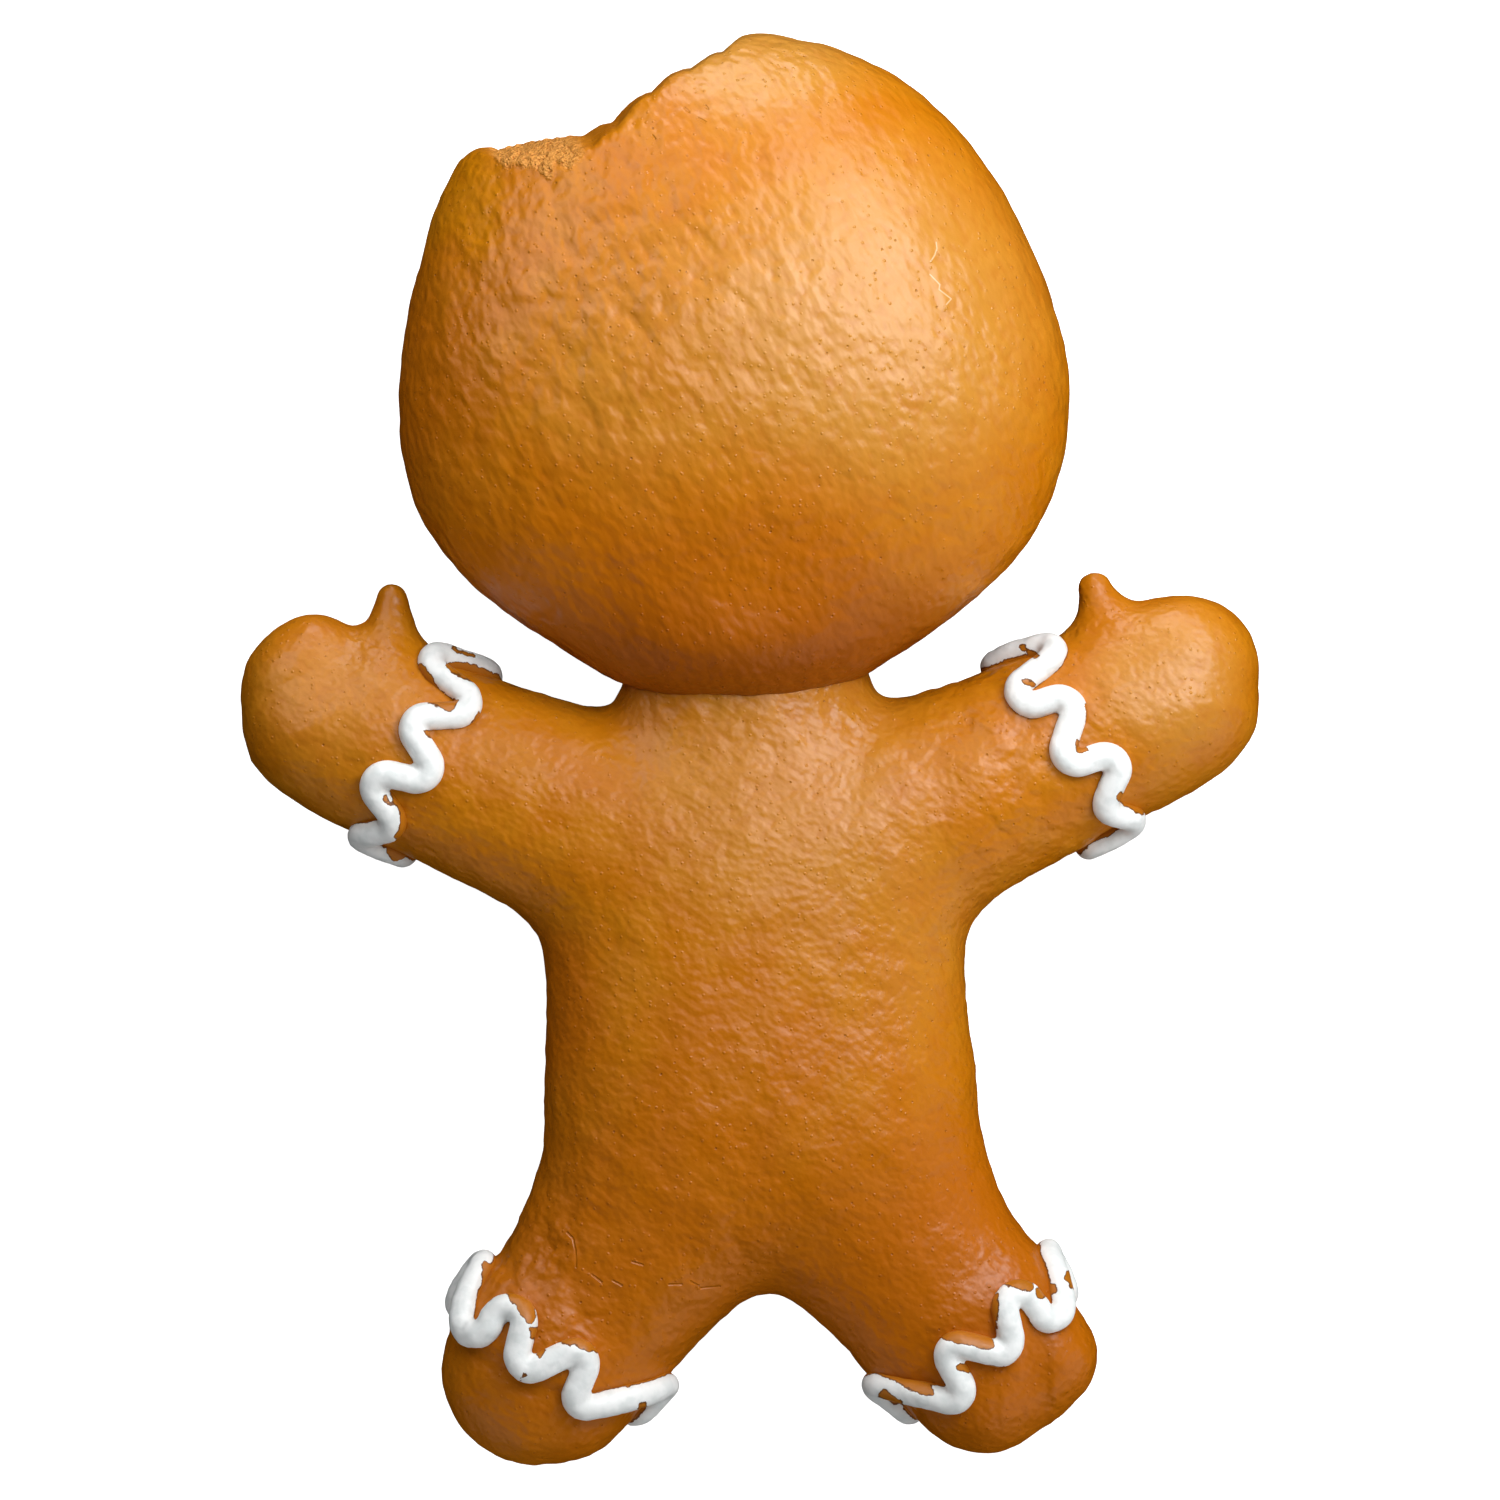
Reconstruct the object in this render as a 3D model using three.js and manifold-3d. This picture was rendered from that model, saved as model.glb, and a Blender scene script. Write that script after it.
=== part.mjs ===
// Gingerbread man: a shop-display figure, cast in resin and painted to look like a
// gingerbread biscuit, with a bite out of its head.  It is a plump rounded figure
// with stub arms held up, a peg of a thumb on each hand, and a wavy bead of white
// icing round each wrist and each ankle.
//
// Millimetres.  The figure lies on its front with its plain back up: +Y points to
// the head, +X to its own right hand, +Z up from the floor.  The origin is on the
// floor, under the middle of its outline.

import * as THREE from 'three';
import { mergeVertices } from 'three/addons/utils/BufferGeometryUtils.js';
import Module from 'manifold-3d';

const wasm = await Module();
wasm.setup();

// ---------------------------------------------------------------- driving sizes

const CELL = 18.2;            // grid of the coarse skin over the whole figure
const GRID_START = [-350, -490, -42];
const GRID_END = [350, 490, 250];
const FLESH_SOFTNESS = 11.75; // how softly trunk and limbs run into each other
const HEAD_SOFTNESS = 17.6;   // the same for the balls that make the head
const ICING_GAP = 0.4;        // clearance under each bead of icing
const FLOOR_BLOCK = [1600, 1600, 400]; // takes off whatever would be under the floor

// Trunk and limbs.  Each is a tapered rod with round ends: where it starts and ends
// in plan, its half-width there, the height of its middle plane, its depth over its
// width, and how square its cross-section is (2 is an ellipse).
const FLESH = [
  { from: [-3.8, 89.8], to: [0, -41.4], radii: [73.2, 80.9], height: 80, depth: 0.66, square: 2.1 },
  { from: [3.1, -117.0], to: [4.6, -189.5], radii: [130.3, 132.9], height: 72, depth: 0.55, square: 2.3 },
  { from: [-79.6, -55.1], to: [-226.4, 4.4], radii: [69.9, 59.2], height: 76, depth: 0.80, square: 2 },
  { from: [-270.1, 17.1], to: [-284.4, 43.4], radii: [45.2, 31.3], height: 76, depth: 0.95, square: 2 },
  { from: [-274.1, 67.3], to: [-291.7, 21.8], radii: [11.6, 21.2], height: 76, depth: 1.20, square: 2 },
  { from: [78.2, -52.2], to: [227.3, 16.6], radii: [70.7, 60.2], height: 76, depth: 0.80, square: 2 },
  { from: [272.9, 30.5], to: [275.7, 51.3], radii: [47.2, 44.9], height: 76, depth: 0.95, square: 2 },
  { from: [-47.8, -272.4], to: [-101.6, -355.5], radii: [83.2, 62.3], height: 76, depth: 0.70, square: 2 },
  { from: [-139.5, -380.2], to: [-144.8, -390.1], radii: [55.2, 48.3], height: 76, depth: 0.86, square: 2 },
  { from: [-134.8, -413.8], to: [-115.9, -411.9], radii: [30.7, 31.9], height: 76, depth: 1.10, square: 2 },
  { from: [57.4, -253.9], to: [115.6, -344.9], radii: [88.0, 62.5], height: 76, depth: 0.70, square: 2 },
  { from: [145.1, -354.7], to: [148.1, -396.0], radii: [50.1, 45.7], height: 76, depth: 0.92, square: 2 },
  { from: [189.7, -381.5], to: [172.1, -381.4], radii: [27.1, 10.0], height: 76, depth: 1.20, square: 2 },
];

// The head is two flattened balls, crossed like an X, and a small one under the chin.
// The turn is how far the long radius is turned from +X, in radians.
const HEAD = [
  { centre: [-37.2, 253.1, 108], radii: [200.7, 152.5, 104], turn: 0.764 },
  { centre: [2.5, 255.5, 108], radii: [211.5, 167.8, 104], turn: -0.66 },
  { centre: [-10.0, 68.7, 100], radii: [81.1, 37.6, 60], turn: 0 },
];

// Thumbs: a cone with a round tip and a flared foot, sunk in the hand.  The profile
// is half-width against distance back from the tip.
const THUMB_TIPS = [
  { tip: [-225.7, 104.8], foot: [-226.3, 58], height: 76 },
  { tip: [216.4, 112.6], foot: [223.0, 64], height: 76 },
];
const THUMB_PROFILE = [
  [0, 0], [3.8, 1], [5.9, 4], [8.1, 10], [11.6, 19], [15.5, 26], [21, 32.5], [30, 41], [31, 54], [0, 60],
];
const THUMB_SIDES = 12;

// The bite is taken out of the top left of the crown.  Its wall stands near the line
// from one corner to the other, and is a row of lumps with creases between them.
const BITE = {
  from: [-184, 371],
  to: [2, 449],
  start: -1,          // how far outside that line the first lump starts
  lumps: [            // where each ends along the line, how far outside it, and its bulge
    { end: 26, out: -7.5, bulge: 3.2 },
    { end: 78, out: -19.3, bulge: 1.3 },
    { end: 97, out: -19.2, bulge: 1.4 },
    { end: 126, out: -11.3, bulge: 2.2 },
    { end: 155, out: -7.4, bulge: 2.7 },
    { end: 178, out: -4.8, bulge: 1.6 },
    { end: 204, out: 0, bulge: 1.8 },
  ],
  lumpLean: 0.65,     // under 1, the bulge of each lump leans towards its far end
  slope: 0.15,        // how much the wall leans inwards above the middle of the head
  apron: 15,          // how much further it leans in near the first corner
  apronEnd: 0.5,      // where along the edge that has died away
  crumb: 16,          // width of one crumb
  crumbDepth: 1.6,    // how far the crumbs stand out
  reach: 90,          // how far the cut goes on beyond each corner
  height: [-20, 240], // bottom and top of the cut
  columns: 46,        // how finely the wall is divided along the edge and down it
  rows: 18,
};

// Icing.  A bead winds round pegs that stand alternately on its two sides.  Each peg
// is an angle round the limb (0 at the back, 90 on the side of the "across" axis)
// and a distance along it, and every second one has the bead on its far side.  The
// `hidden` pegs, spread evenly round the front, close the loop.
const BEAD = { halfWidth: 8.7, lift: 1.9, bend: 9.9, arcStep: 42, sides: 6, footAngle: -30 };
const BANDS = [
  {
    name: 'icing_wrist_left',
    centre: [-206, -3.5, 76], along: [-0.924, 0.383], across: [0.383, 0.924], girth: 57,
    pegs: [[102, -9], [70, 7], [44.5, -7], [19, 0], [-7, -1], [-29, 9], [-53, 9], [-78, 6]],
    hidden: { count: 6, along: [7, -2] },
  },
  {
    name: 'icing_wrist_right',
    centre: [197, 3, 76], along: [0.906, 0.423], across: [-0.423, 0.906], girth: 57,
    pegs: [[103, -8], [69, 9], [44, -4.5], [23, 3], [-5, 5], [-26, 13], [-51, 16], [-74, 9]],
    hidden: { count: 6, along: [7, -2] },
  },
  {
    name: 'icing_ankle_left',
    centre: [-112, -366, 76], along: [-0.5, -0.866], across: [0.866, -0.5], girth: 60,
    pegs: [[-88, 1], [-57, 18.5], [-39.5, 10], [-17, 18], [11, 13], [31, 22], [82, 9], [104, 17]],
    hidden: { count: 6, along: [16, 5] },
  },
  {
    name: 'icing_ankle_right',
    centre: [134, -362, 76], along: [0.58, -0.815], across: [-0.815, -0.58], girth: 60,
    pegs: [[-88, 4], [-58, 16], [-38, 7], [-16, 13], [13, 11], [34, 21], [80, 7], [104, 17]],
    hidden: { count: 6, along: [16, 5] },
  },
];

// -------------------------------------------------------------------- materials

const gingerbread = new THREE.MeshStandardMaterial({ color: 0xc07a2a, roughness: 0.55, metalness: 0 });
const icing = new THREE.MeshStandardMaterial({ color: 0xf1f3f1, roughness: 0.5, metalness: 0 });

// ---------------------------------------------------------------- form by fields

const SLOPE_STEP = 0.05;      // how far apart two readings of a field are, to find its slope
const SKIN_PASSES = 4;        // enough to bring a point onto the skin to a hundredth
const SKIN_SEARCH_STEP = 2;   // how finely a ray out of a limb looks for its skin

// A field is a function of (x, y, z) that is negative inside the form.

// Joins signed distances as if the parts were one soft lump.
function blend(distances, softness) {
  const nearest = Math.min(...distances);
  const sum = distances.reduce((total, d) => total + Math.exp((nearest - d) / softness), 0);
  return nearest - softness * Math.log(sum);
}

function rodDistance(rod, x, y, z) {
  const [ax, ay] = rod.from;
  const dx = rod.to[0] - ax;
  const dy = rod.to[1] - ay;
  const t = THREE.MathUtils.clamp(((x - ax) * dx + (y - ay) * dy) / (dx * dx + dy * dy), 0, 1);
  const sideways = Math.hypot(x - ax - t * dx, y - ay - t * dy);
  const upwards = Math.abs(z - rod.height) / rod.depth;
  const away = (sideways ** rod.square + upwards ** rod.square) ** (1 / rod.square);
  return away - THREE.MathUtils.lerp(rod.radii[0], rod.radii[1], t);
}

function ballDistance({ centre, radii, turn }, x, y, z) {
  const dx = x - centre[0];
  const dy = y - centre[1];
  const along = dx * Math.cos(turn) + dy * Math.sin(turn);
  const across = dy * Math.cos(turn) - dx * Math.sin(turn);
  const away = Math.hypot(along / radii[0], across / radii[1], (z - centre[2]) / radii[2]);
  return (away - 1) * Math.min(radii[0], radii[1]);
}

const fleshField = (x, y, z) => blend(FLESH.map((rod) => rodDistance(rod, x, y, z)), FLESH_SOFTNESS);
const headField = (x, y, z) => blend(HEAD.map((ball) => ballDistance(ball, x, y, z)), HEAD_SOFTNESS);

// Head and trunk meet in a sharp crease, so the two are not blended.
const figureField = (x, y, z) => Math.min(fleshField(x, y, z), headField(x, y, z));

function gradient(field, point) {
  const h = SLOPE_STEP;
  const [x, y, z] = point;
  return [
    (field(x + h, y, z) - field(x - h, y, z)) / (2 * h),
    (field(x, y + h, z) - field(x, y - h, z)) / (2 * h),
    (field(x, y, z + h) - field(x, y, z - h)) / (2 * h),
  ];
}

// Moves a point onto the skin, where the field is zero.
function ontoSkin(field, point) {
  let moved = [...point];
  for (let pass = 0; pass < SKIN_PASSES; pass += 1) {
    const slope = gradient(field, moved);
    const steep = slope.reduce((sum, g) => sum + g * g, 1e-9);
    const value = field(...moved);
    moved = moved.map((c, axis) => c - (value * slope[axis]) / steep);
  }
  return moved;
}

// ------------------------------------------------------------- skin from a field

// Covers a field with four-sided cells: one vertex in each grid cell that the skin
// passes through, one face across each grid edge that it crosses.
function skinOf(field, low, high, cell) {
  const counts = low.map((start, axis) => Math.ceil((high[axis] - start) / cell) + 1);
  const [nx, ny, nz] = counts;
  const at = (i, j, k) => (k * ny + j) * nx + i;
  const place = (i, j, k) => [low[0] + i * cell, low[1] + j * cell, low[2] + k * cell];
  const values = new Float64Array(nx * ny * nz);
  for (let k = 0; k < nz; k += 1) {
    for (let j = 0; j < ny; j += 1) {
      for (let i = 0; i < nx; i += 1) values[at(i, j, k)] = field(...place(i, j, k));
    }
  }

  const positions = [];
  const vertexOfCell = new Map();
  const corners = [0, 1, 2, 3, 4, 5, 6, 7].map((c) => [c & 1, (c >> 1) & 1, c >> 2]);
  const edges = corners.flatMap((a, ia) => corners
    .map((b, ib) => [ia, ib])
    .filter(([, ib]) => ib > ia && corners[ib].filter((c, axis) => c !== a[axis]).length === 1));

  function cellVertex(i, j, k) {
    const key = at(i, j, k);
    if (!vertexOfCell.has(key)) {
      const crossings = [];
      for (const [ia, ib] of edges) {
        const a = corners[ia];
        const b = corners[ib];
        const va = values[at(i + a[0], j + a[1], k + a[2])];
        const vb = values[at(i + b[0], j + b[1], k + b[2])];
        if (va < 0 !== vb < 0) {
          const t = va / (va - vb);
          crossings.push(a.map((c, axis) => low[axis] + cell * ([i, j, k][axis] + c + t * (b[axis] - c))));
        }
      }
      const middle = low.map((_, axis) => crossings.reduce((s, p) => s + p[axis], 0) / crossings.length);
      vertexOfCell.set(key, positions.length / 3);
      positions.push(...ontoSkin(field, middle));
    }
    return vertexOfCell.get(key);
  }

  const vertex = (n) => new THREE.Vector3().fromArray(positions, 3 * n);
  const triangles = [];
  function addFace(quad, flip) {
    const [a, b, c, d] = flip ? [...quad].reverse() : quad;
    if (vertex(a).distanceTo(vertex(c)) < vertex(b).distanceTo(vertex(d))) triangles.push(a, b, c, a, c, d);
    else triangles.push(a, b, d, b, c, d);
  }
  for (let k = 1; k < nz - 1; k += 1) {
    for (let j = 1; j < ny - 1; j += 1) {
      for (let i = 1; i < nx - 1; i += 1) {
        const inside = values[at(i, j, k)] < 0;
        if (inside !== values[at(i + 1, j, k)] < 0) {
          const around = [[j, k], [j - 1, k], [j - 1, k - 1], [j, k - 1]];
          addFace(around.map(([v, w]) => cellVertex(i, v, w)), inside);
        }
        if (inside !== values[at(i, j + 1, k)] < 0) {
          const around = [[i, k], [i, k - 1], [i - 1, k - 1], [i - 1, k]];
          addFace(around.map(([u, w]) => cellVertex(u, j, w)), inside);
        }
        if (inside !== values[at(i, j, k + 1)] < 0) {
          const around = [[i, j], [i - 1, j], [i - 1, j - 1], [i, j - 1]];
          addFace(around.map(([u, v]) => cellVertex(u, v, k)), inside);
        }
      }
    }
  }
  return solidFrom(positions, triangles);
}

// ------------------------------------------------------------ solids and meshes

// Six times the volume that a closed skin encloses, negative if it is inside out.
function signedVolume(positions, triangles) {
  const at = (n) => new THREE.Vector3().fromArray(positions, 3 * n);
  let total = 0;
  for (let n = 0; n < triangles.length; n += 3) {
    total += at(triangles[n]).dot(at(triangles[n + 1]).cross(at(triangles[n + 2])));
  }
  return total;
}

function solidFrom(positions, triangles) {
  const outwards = Array.from(triangles);
  if (signedVolume(positions, triangles) < 0) outwards.reverse();
  return new wasm.Manifold(new wasm.Mesh({
    numProp: 3,
    vertProperties: Float32Array.from(positions),
    triVerts: Uint32Array.from(outwards),
  }));
}

function solidOfGeometry(geometry) {
  geometry.deleteAttribute('normal');
  geometry.deleteAttribute('uv');
  const merged = mergeVertices(geometry, 1e-4);
  return solidFrom(merged.getAttribute('position').array, merged.getIndex().array);
}

function geometryOfSolid(solid) {
  const mesh = solid.getMesh();
  const geometry = new THREE.BufferGeometry();
  geometry.setAttribute('position', new THREE.Float32BufferAttribute(mesh.vertProperties, 3));
  geometry.setIndex(Array.from(mesh.triVerts));
  geometry.computeVertexNormals();
  return geometry;
}

// The same solid with its skin moved outwards by `distance`.
function swollen(solid, distance) {
  const geometry = geometryOfSolid(solid);
  const position = geometry.getAttribute('position');
  const normal = geometry.getAttribute('normal');
  const moved = Array.from(position.array, (value, n) => value + distance * normal.array[n]);
  return solidFrom(moved, geometry.getIndex().array);
}

// The faces between rings of equal length; a closed sweep joins the last to the first.
function sweepFaces(count, length, closed) {
  const triangles = [];
  for (let r = 0; r < (closed ? count : count - 1); r += 1) {
    const here = r * length;
    const next = ((r + 1) % count) * length;
    for (let i = 0; i < length; i += 1) {
      const j = (i + 1) % length;
      triangles.push(here + i, here + j, next + j, here + i, next + j, next + i);
    }
  }
  return triangles;
}

// ------------------------------------------------------------------------ thumbs

function thumb({ tip, foot, height }) {
  const profile = THUMB_PROFILE.map(([radius, back]) => new THREE.Vector2(radius, -back)).reverse();
  const geometry = new THREE.LatheGeometry(profile, THUMB_SIDES);
  const direction = new THREE.Vector3(tip[0] - foot[0], tip[1] - foot[1], 0).normalize();
  geometry.applyQuaternion(new THREE.Quaternion().setFromUnitVectors(new THREE.Vector3(0, 1, 0), direction));
  geometry.translate(tip[0], tip[1], height);
  return solidOfGeometry(geometry);
}

// -------------------------------------------------------------------------- bite

// Repeatable noise between -1 and 1 for a number.
function noise(n) {
  const s = Math.sin(n * 127.1 + 11.7) * 43758.5453;
  return 2 * (s - Math.floor(s)) - 1;
}

// Crumbs: rounded lumps with notches between them, each a little different.
function crumbs(u, v) {
  const row = Math.floor(v / BITE.crumb);
  const shifted = u + BITE.crumb * 0.45 * noise(row + 0.5);
  const column = Math.floor(shifted / BITE.crumb);
  const lump = Math.abs(Math.sin((Math.PI * shifted) / BITE.crumb) * Math.sin((Math.PI * v) / BITE.crumb));
  return BITE.crumbDepth * (Math.sqrt(lump) - 0.9) * (1 + 0.5 * noise(column * 7 + row * 31));
}

// How far outside the line of the corners the lumps of the wall are, at `u` along it.
function biteLumps(u) {
  let start = 0;
  let from = BITE.start;
  for (const { end, out, bulge } of BITE.lumps) {
    if (u < end) {
      const share = Math.max(0, (u - start) / (end - start));
      const leant = share ** (1 / BITE.lumpLean);
      return THREE.MathUtils.lerp(from, out, share) + bulge * 4 * leant * (1 - leant);
    }
    start = end;
    from = out;
  }
  return from;
}

// The material that the bite took: a block outside the crumbly wall.
function biteSolid() {
  const chord = new THREE.Vector2(BITE.to[0] - BITE.from[0], BITE.to[1] - BITE.from[1]);
  const length = chord.length();
  const run = chord.clone().divideScalar(length);
  const out = new THREE.Vector2(-run.y, run.x);
  const [bottom, top] = BITE.height;
  const middle = HEAD[0].centre[2];

  // How far outside the line of the corners the wall stands, at `u` along it.
  function wall(u, z) {
    const above = Math.max(0, z - middle);
    const apron = BITE.apron * Math.max(0, 1 - Math.max(u, 0) / (length * BITE.apronEnd));
    const leaning = BITE.slope * above + apron * (above / HEAD[0].radii[2]) ** 2;
    return biteLumps(u) - leaning + crumbs(u, z - middle);
  }

  const rings = [];
  const outlines = [];
  for (let c = 0; c <= BITE.columns; c += 1) {
    const u = -BITE.reach + ((length + 2 * BITE.reach) * c) / BITE.columns;
    const ring = [[length, bottom], [length, top]];
    for (let r = 0; r <= BITE.rows; r += 1) {
      const z = THREE.MathUtils.lerp(top, bottom, r / BITE.rows);
      ring.push([wall(u, z), z]);
    }
    const place = ([v, z]) => {
      const [x, y] = run.clone().multiplyScalar(u).addScaledVector(out, v).toArray();
      return [BITE.from[0] + x, BITE.from[1] + y, z];
    };
    rings.push(ring.map(place));
    outlines.push(ring.map(([v, z]) => new THREE.Vector2(v, z)));
  }
  const size = rings[0].length;
  const last = BITE.columns * size;
  const triangles = sweepFaces(rings.length, size, false);
  for (const [a, b, c] of THREE.ShapeUtils.triangulateShape(outlines[0], [])) triangles.push(a, c, b);
  for (const face of THREE.ShapeUtils.triangulateShape(outlines[BITE.columns], [])) {
    triangles.push(...face.map((n) => last + n));
  }
  return solidFrom(rings.flat(2), triangles);
}

// ------------------------------------------------------------------------- icing

// The pegs of a band, each as a point on the unrolled limb and the side, 1 for far
// and -1 for near, on which the bead passes it.
function pegsOf(band) {
  const [first] = band.pegs;
  const last = band.pegs[band.pegs.length - 1];
  const turn = Math.sign(last[0] - first[0]);
  const pegs = [...band.pegs];
  const step = (first[0] + turn * 360 - last[0]) / (band.hidden.count + 1);
  for (let n = 1; n <= band.hidden.count; n += 1) {
    pegs.push([last[0] + step * n, band.hidden.along[n % 2]]);
  }
  return pegs.map(([angle, along], n) => ({
    at: new THREE.Vector2(THREE.MathUtils.degToRad(angle) * band.girth, along),
    side: n % 2 === 0 ? -1 : 1,
    lap: turn * 2 * Math.PI * band.girth,
  }));
}

// The line of a belt that winds round the pegs on alternate sides: an arc round each
// peg, and straight from one arc to the next.
function beltLine(pegs) {
  const count = pegs.length;
  const lines = pegs.map((peg, n) => {
    const next = pegs[(n + 1) % count];
    const to = next.at.clone();
    if (n === count - 1) to.x += peg.lap;
    const reach = to.sub(peg.at);
    const gap = reach.length();
    const ahead = reach.divideScalar(gap);
    const turn = Math.sign(peg.lap) * peg.side;
    const lean = Math.acos(Math.min(1, (2 * BEAD.bend) / gap));
    return ahead.rotateAround(new THREE.Vector2(), turn * lean);
  });
  const points = [];
  pegs.forEach((peg, n) => {
    const arriving = lines[(n + count - 1) % count].clone().negate();
    const start = arriving.angle();
    const turn = -Math.sign(peg.lap) * peg.side;
    let sweep = lines[n].angle() - start;
    while (sweep * turn < 0) sweep += turn * 2 * Math.PI;
    while (sweep * turn >= 2 * Math.PI) sweep -= turn * 2 * Math.PI;
    const steps = Math.max(1, Math.round(Math.abs(THREE.MathUtils.radToDeg(sweep)) / BEAD.arcStep));
    for (let s = 0; s <= steps; s += 1) {
      const angle = start + (sweep * s) / steps;
      const offset = new THREE.Vector2(Math.cos(angle), Math.sin(angle)).multiplyScalar(BEAD.bend);
      points.push(offset.add(peg.at));
    }
  });
  return points;
}

// The point of the flesh at an angle round a limb and a distance along it.
function skinPoint(band, point) {
  const angle = point.x / band.girth;
  const [cx, cy, cz] = band.centre;
  const at = (radius) => [
    cx + point.y * band.along[0] + radius * Math.sin(angle) * band.across[0],
    cy + point.y * band.along[1] + radius * Math.sin(angle) * band.across[1],
    cz + radius * Math.cos(angle),
  ];
  let radius = 0;
  while (fleshField(...at(radius)) < 0) radius += SKIN_SEARCH_STEP;
  return new THREE.Vector3(...ontoSkin(fleshField, at(radius)));
}

// A bead of half-round section along a band's belt line, cut clear of the figure.
function bead(band, figure) {
  const line = beltLine(pegsOf(band)).map((point) => skinPoint(band, point));
  const rings = line.map((point, n) => {
    const before = line[(n + line.length - 1) % line.length];
    const after = line[(n + 1) % line.length];
    const up = new THREE.Vector3(...gradient(fleshField, point.toArray())).normalize();
    const sideways = after.clone().sub(before).cross(up).normalize();
    const centre = point.clone().addScaledVector(up, BEAD.lift);
    return Array.from({ length: BEAD.sides }, (_, i) => {
      const span = 180 - 2 * BEAD.footAngle;
      const angle = THREE.MathUtils.degToRad(BEAD.footAngle + (span * i) / (BEAD.sides - 1));
      return centre.clone()
        .addScaledVector(sideways, BEAD.halfWidth * Math.cos(angle))
        .addScaledVector(up, BEAD.halfWidth * Math.sin(angle))
        .toArray();
    });
  });
  return solidFrom(rings.flat(2), sweepFaces(rings.length, BEAD.sides, true)).subtract(figure);
}

// ------------------------------------------------------------------------ figure

function floorBlock() {
  const block = new THREE.BoxGeometry(...FLOOR_BLOCK);
  block.translate(0, 0, -FLOOR_BLOCK[2] / 2);
  return solidOfGeometry(block);
}

let figure = skinOf(figureField, GRID_START, GRID_END, CELL);
for (const spec of THUMB_TIPS) figure = figure.add(thumb(spec));
figure = figure.subtract(biteSolid()).subtract(floorBlock());
const clearance = swollen(figure, ICING_GAP);

const group = new THREE.Group();

function addPart(name, solid, material) {
  const mesh = new THREE.Mesh(geometryOfSolid(solid), material);
  mesh.name = name;
  group.add(mesh);
}

addPart('gingerbread_figure', figure, gingerbread);
for (const band of BANDS) addPart(band.name, bead(band, clearance), icing);

// The origin goes under the middle of the outline.
const box = new THREE.Box3().setFromObject(group);
const middle = box.getCenter(new THREE.Vector3());
group.position.set(-middle.x, -middle.y, -box.min.z);

export default group;
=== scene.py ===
# %% [markdown]
# # A gingerbread man for a shop window
#
# The real object is a display figure about 0.9 m tall.  A sculptor modelled it over balls and
# tapered rolls, took a mould, cast it in resin and painted it: gingerbread brown all over, and
# white on the raised lines of icing round the wrists and ankles.  It has a bite out of its head.
# It lies on its front, so that what faces up is its plain back.
#
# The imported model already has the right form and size.  What it lacks is skin: the soft run of
# one roll into the next, the peel of the paint, the crumbs of the bite and the brushed edge of
# the white.  This lesson makes those.

import math

import bmesh
import bpy
import numpy as np
from mathutils import Matrix, Vector, kdtree, noise


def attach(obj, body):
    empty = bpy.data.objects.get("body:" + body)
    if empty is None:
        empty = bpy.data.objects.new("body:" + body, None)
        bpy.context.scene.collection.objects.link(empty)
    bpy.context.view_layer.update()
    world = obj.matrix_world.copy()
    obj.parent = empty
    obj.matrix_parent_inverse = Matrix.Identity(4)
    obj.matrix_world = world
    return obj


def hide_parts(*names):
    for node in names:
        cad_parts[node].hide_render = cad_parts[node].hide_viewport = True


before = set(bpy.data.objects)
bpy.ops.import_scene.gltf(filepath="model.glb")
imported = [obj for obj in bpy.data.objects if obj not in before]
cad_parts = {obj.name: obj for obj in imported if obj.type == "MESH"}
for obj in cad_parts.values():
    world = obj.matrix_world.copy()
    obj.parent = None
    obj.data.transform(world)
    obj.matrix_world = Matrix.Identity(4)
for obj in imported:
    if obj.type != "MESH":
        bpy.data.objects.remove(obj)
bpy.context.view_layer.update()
print("nodes:", sorted(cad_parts))

# %% [markdown]
# ## Units
#
# The figure was drawn in millimetres, round a point near the middle of its chest.  Blender and
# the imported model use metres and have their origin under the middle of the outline.  Two small
# functions go from one to the other, so every size below is a size on the drawing.

# %% From the drawing to the frame and back
MM = 0.001
DRAWING_SHIFT = np.array([0.115, 1.508, 0.0])  # where the drawing's origin is in the frame, mm


def to_frame(drawn):
    """Millimetres on the drawing to metres in the frame."""
    return (np.asarray(drawn, dtype=float) + DRAWING_SHIFT) * MM


def to_drawing(placed):
    """Metres in the frame to millimetres on the drawing."""
    return np.asarray(placed, dtype=float) / MM - DRAWING_SHIFT


print("the drawing's origin is at", to_frame((0, 0, 0)).round(4))

# %% [markdown]
# ## The camera
#
# The figure stood upright and was seen square on from behind, from about three metres.  Now that
# it lies down, the same view looks straight down on it.

# %% Camera
MIDDLE_HEIGHT = 77.0  # the middle of the limbs above the floor, mm
CAMERA_DISTANCE = 3000.0  # from the lens to the middle of the limbs, mm
VIEW_WIDTH = 945.0  # what the picture takes in at that distance, mm
SENSOR_WIDTH = 36.0  # mm
SIGHT = 20.0  # how far the camera sees, m

camera = bpy.data.objects.new("camera", bpy.data.cameras.new("camera"))
camera.data.sensor_width = SENSOR_WIDTH
camera.data.lens = SENSOR_WIDTH * CAMERA_DISTANCE / VIEW_WIDTH
camera.data.clip_end = SIGHT
camera.location = to_frame((0, 0, MIDDLE_HEIGHT + CAMERA_DISTANCE))
bpy.context.scene.collection.objects.link(camera)
bpy.context.scene.camera = camera
print("lens, mm:", round(camera.data.lens, 1))

# %% [markdown]
# ## The studio
#
# A pale floor and soft light.  Two key boxes stand up to the right of the head and a third hangs
# almost over it: they give the highlight and leave the left flanks dark, which two weak boxes on
# that side fill a little.  A large box far past the crown grazes the whole figure and brings out
# its relief.  Three more, to the right and past the feet, only lift the shade: the paint mirrors
# neither them nor the floor and the room, so that its sides stay as deep in colour as its middle.

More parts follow.
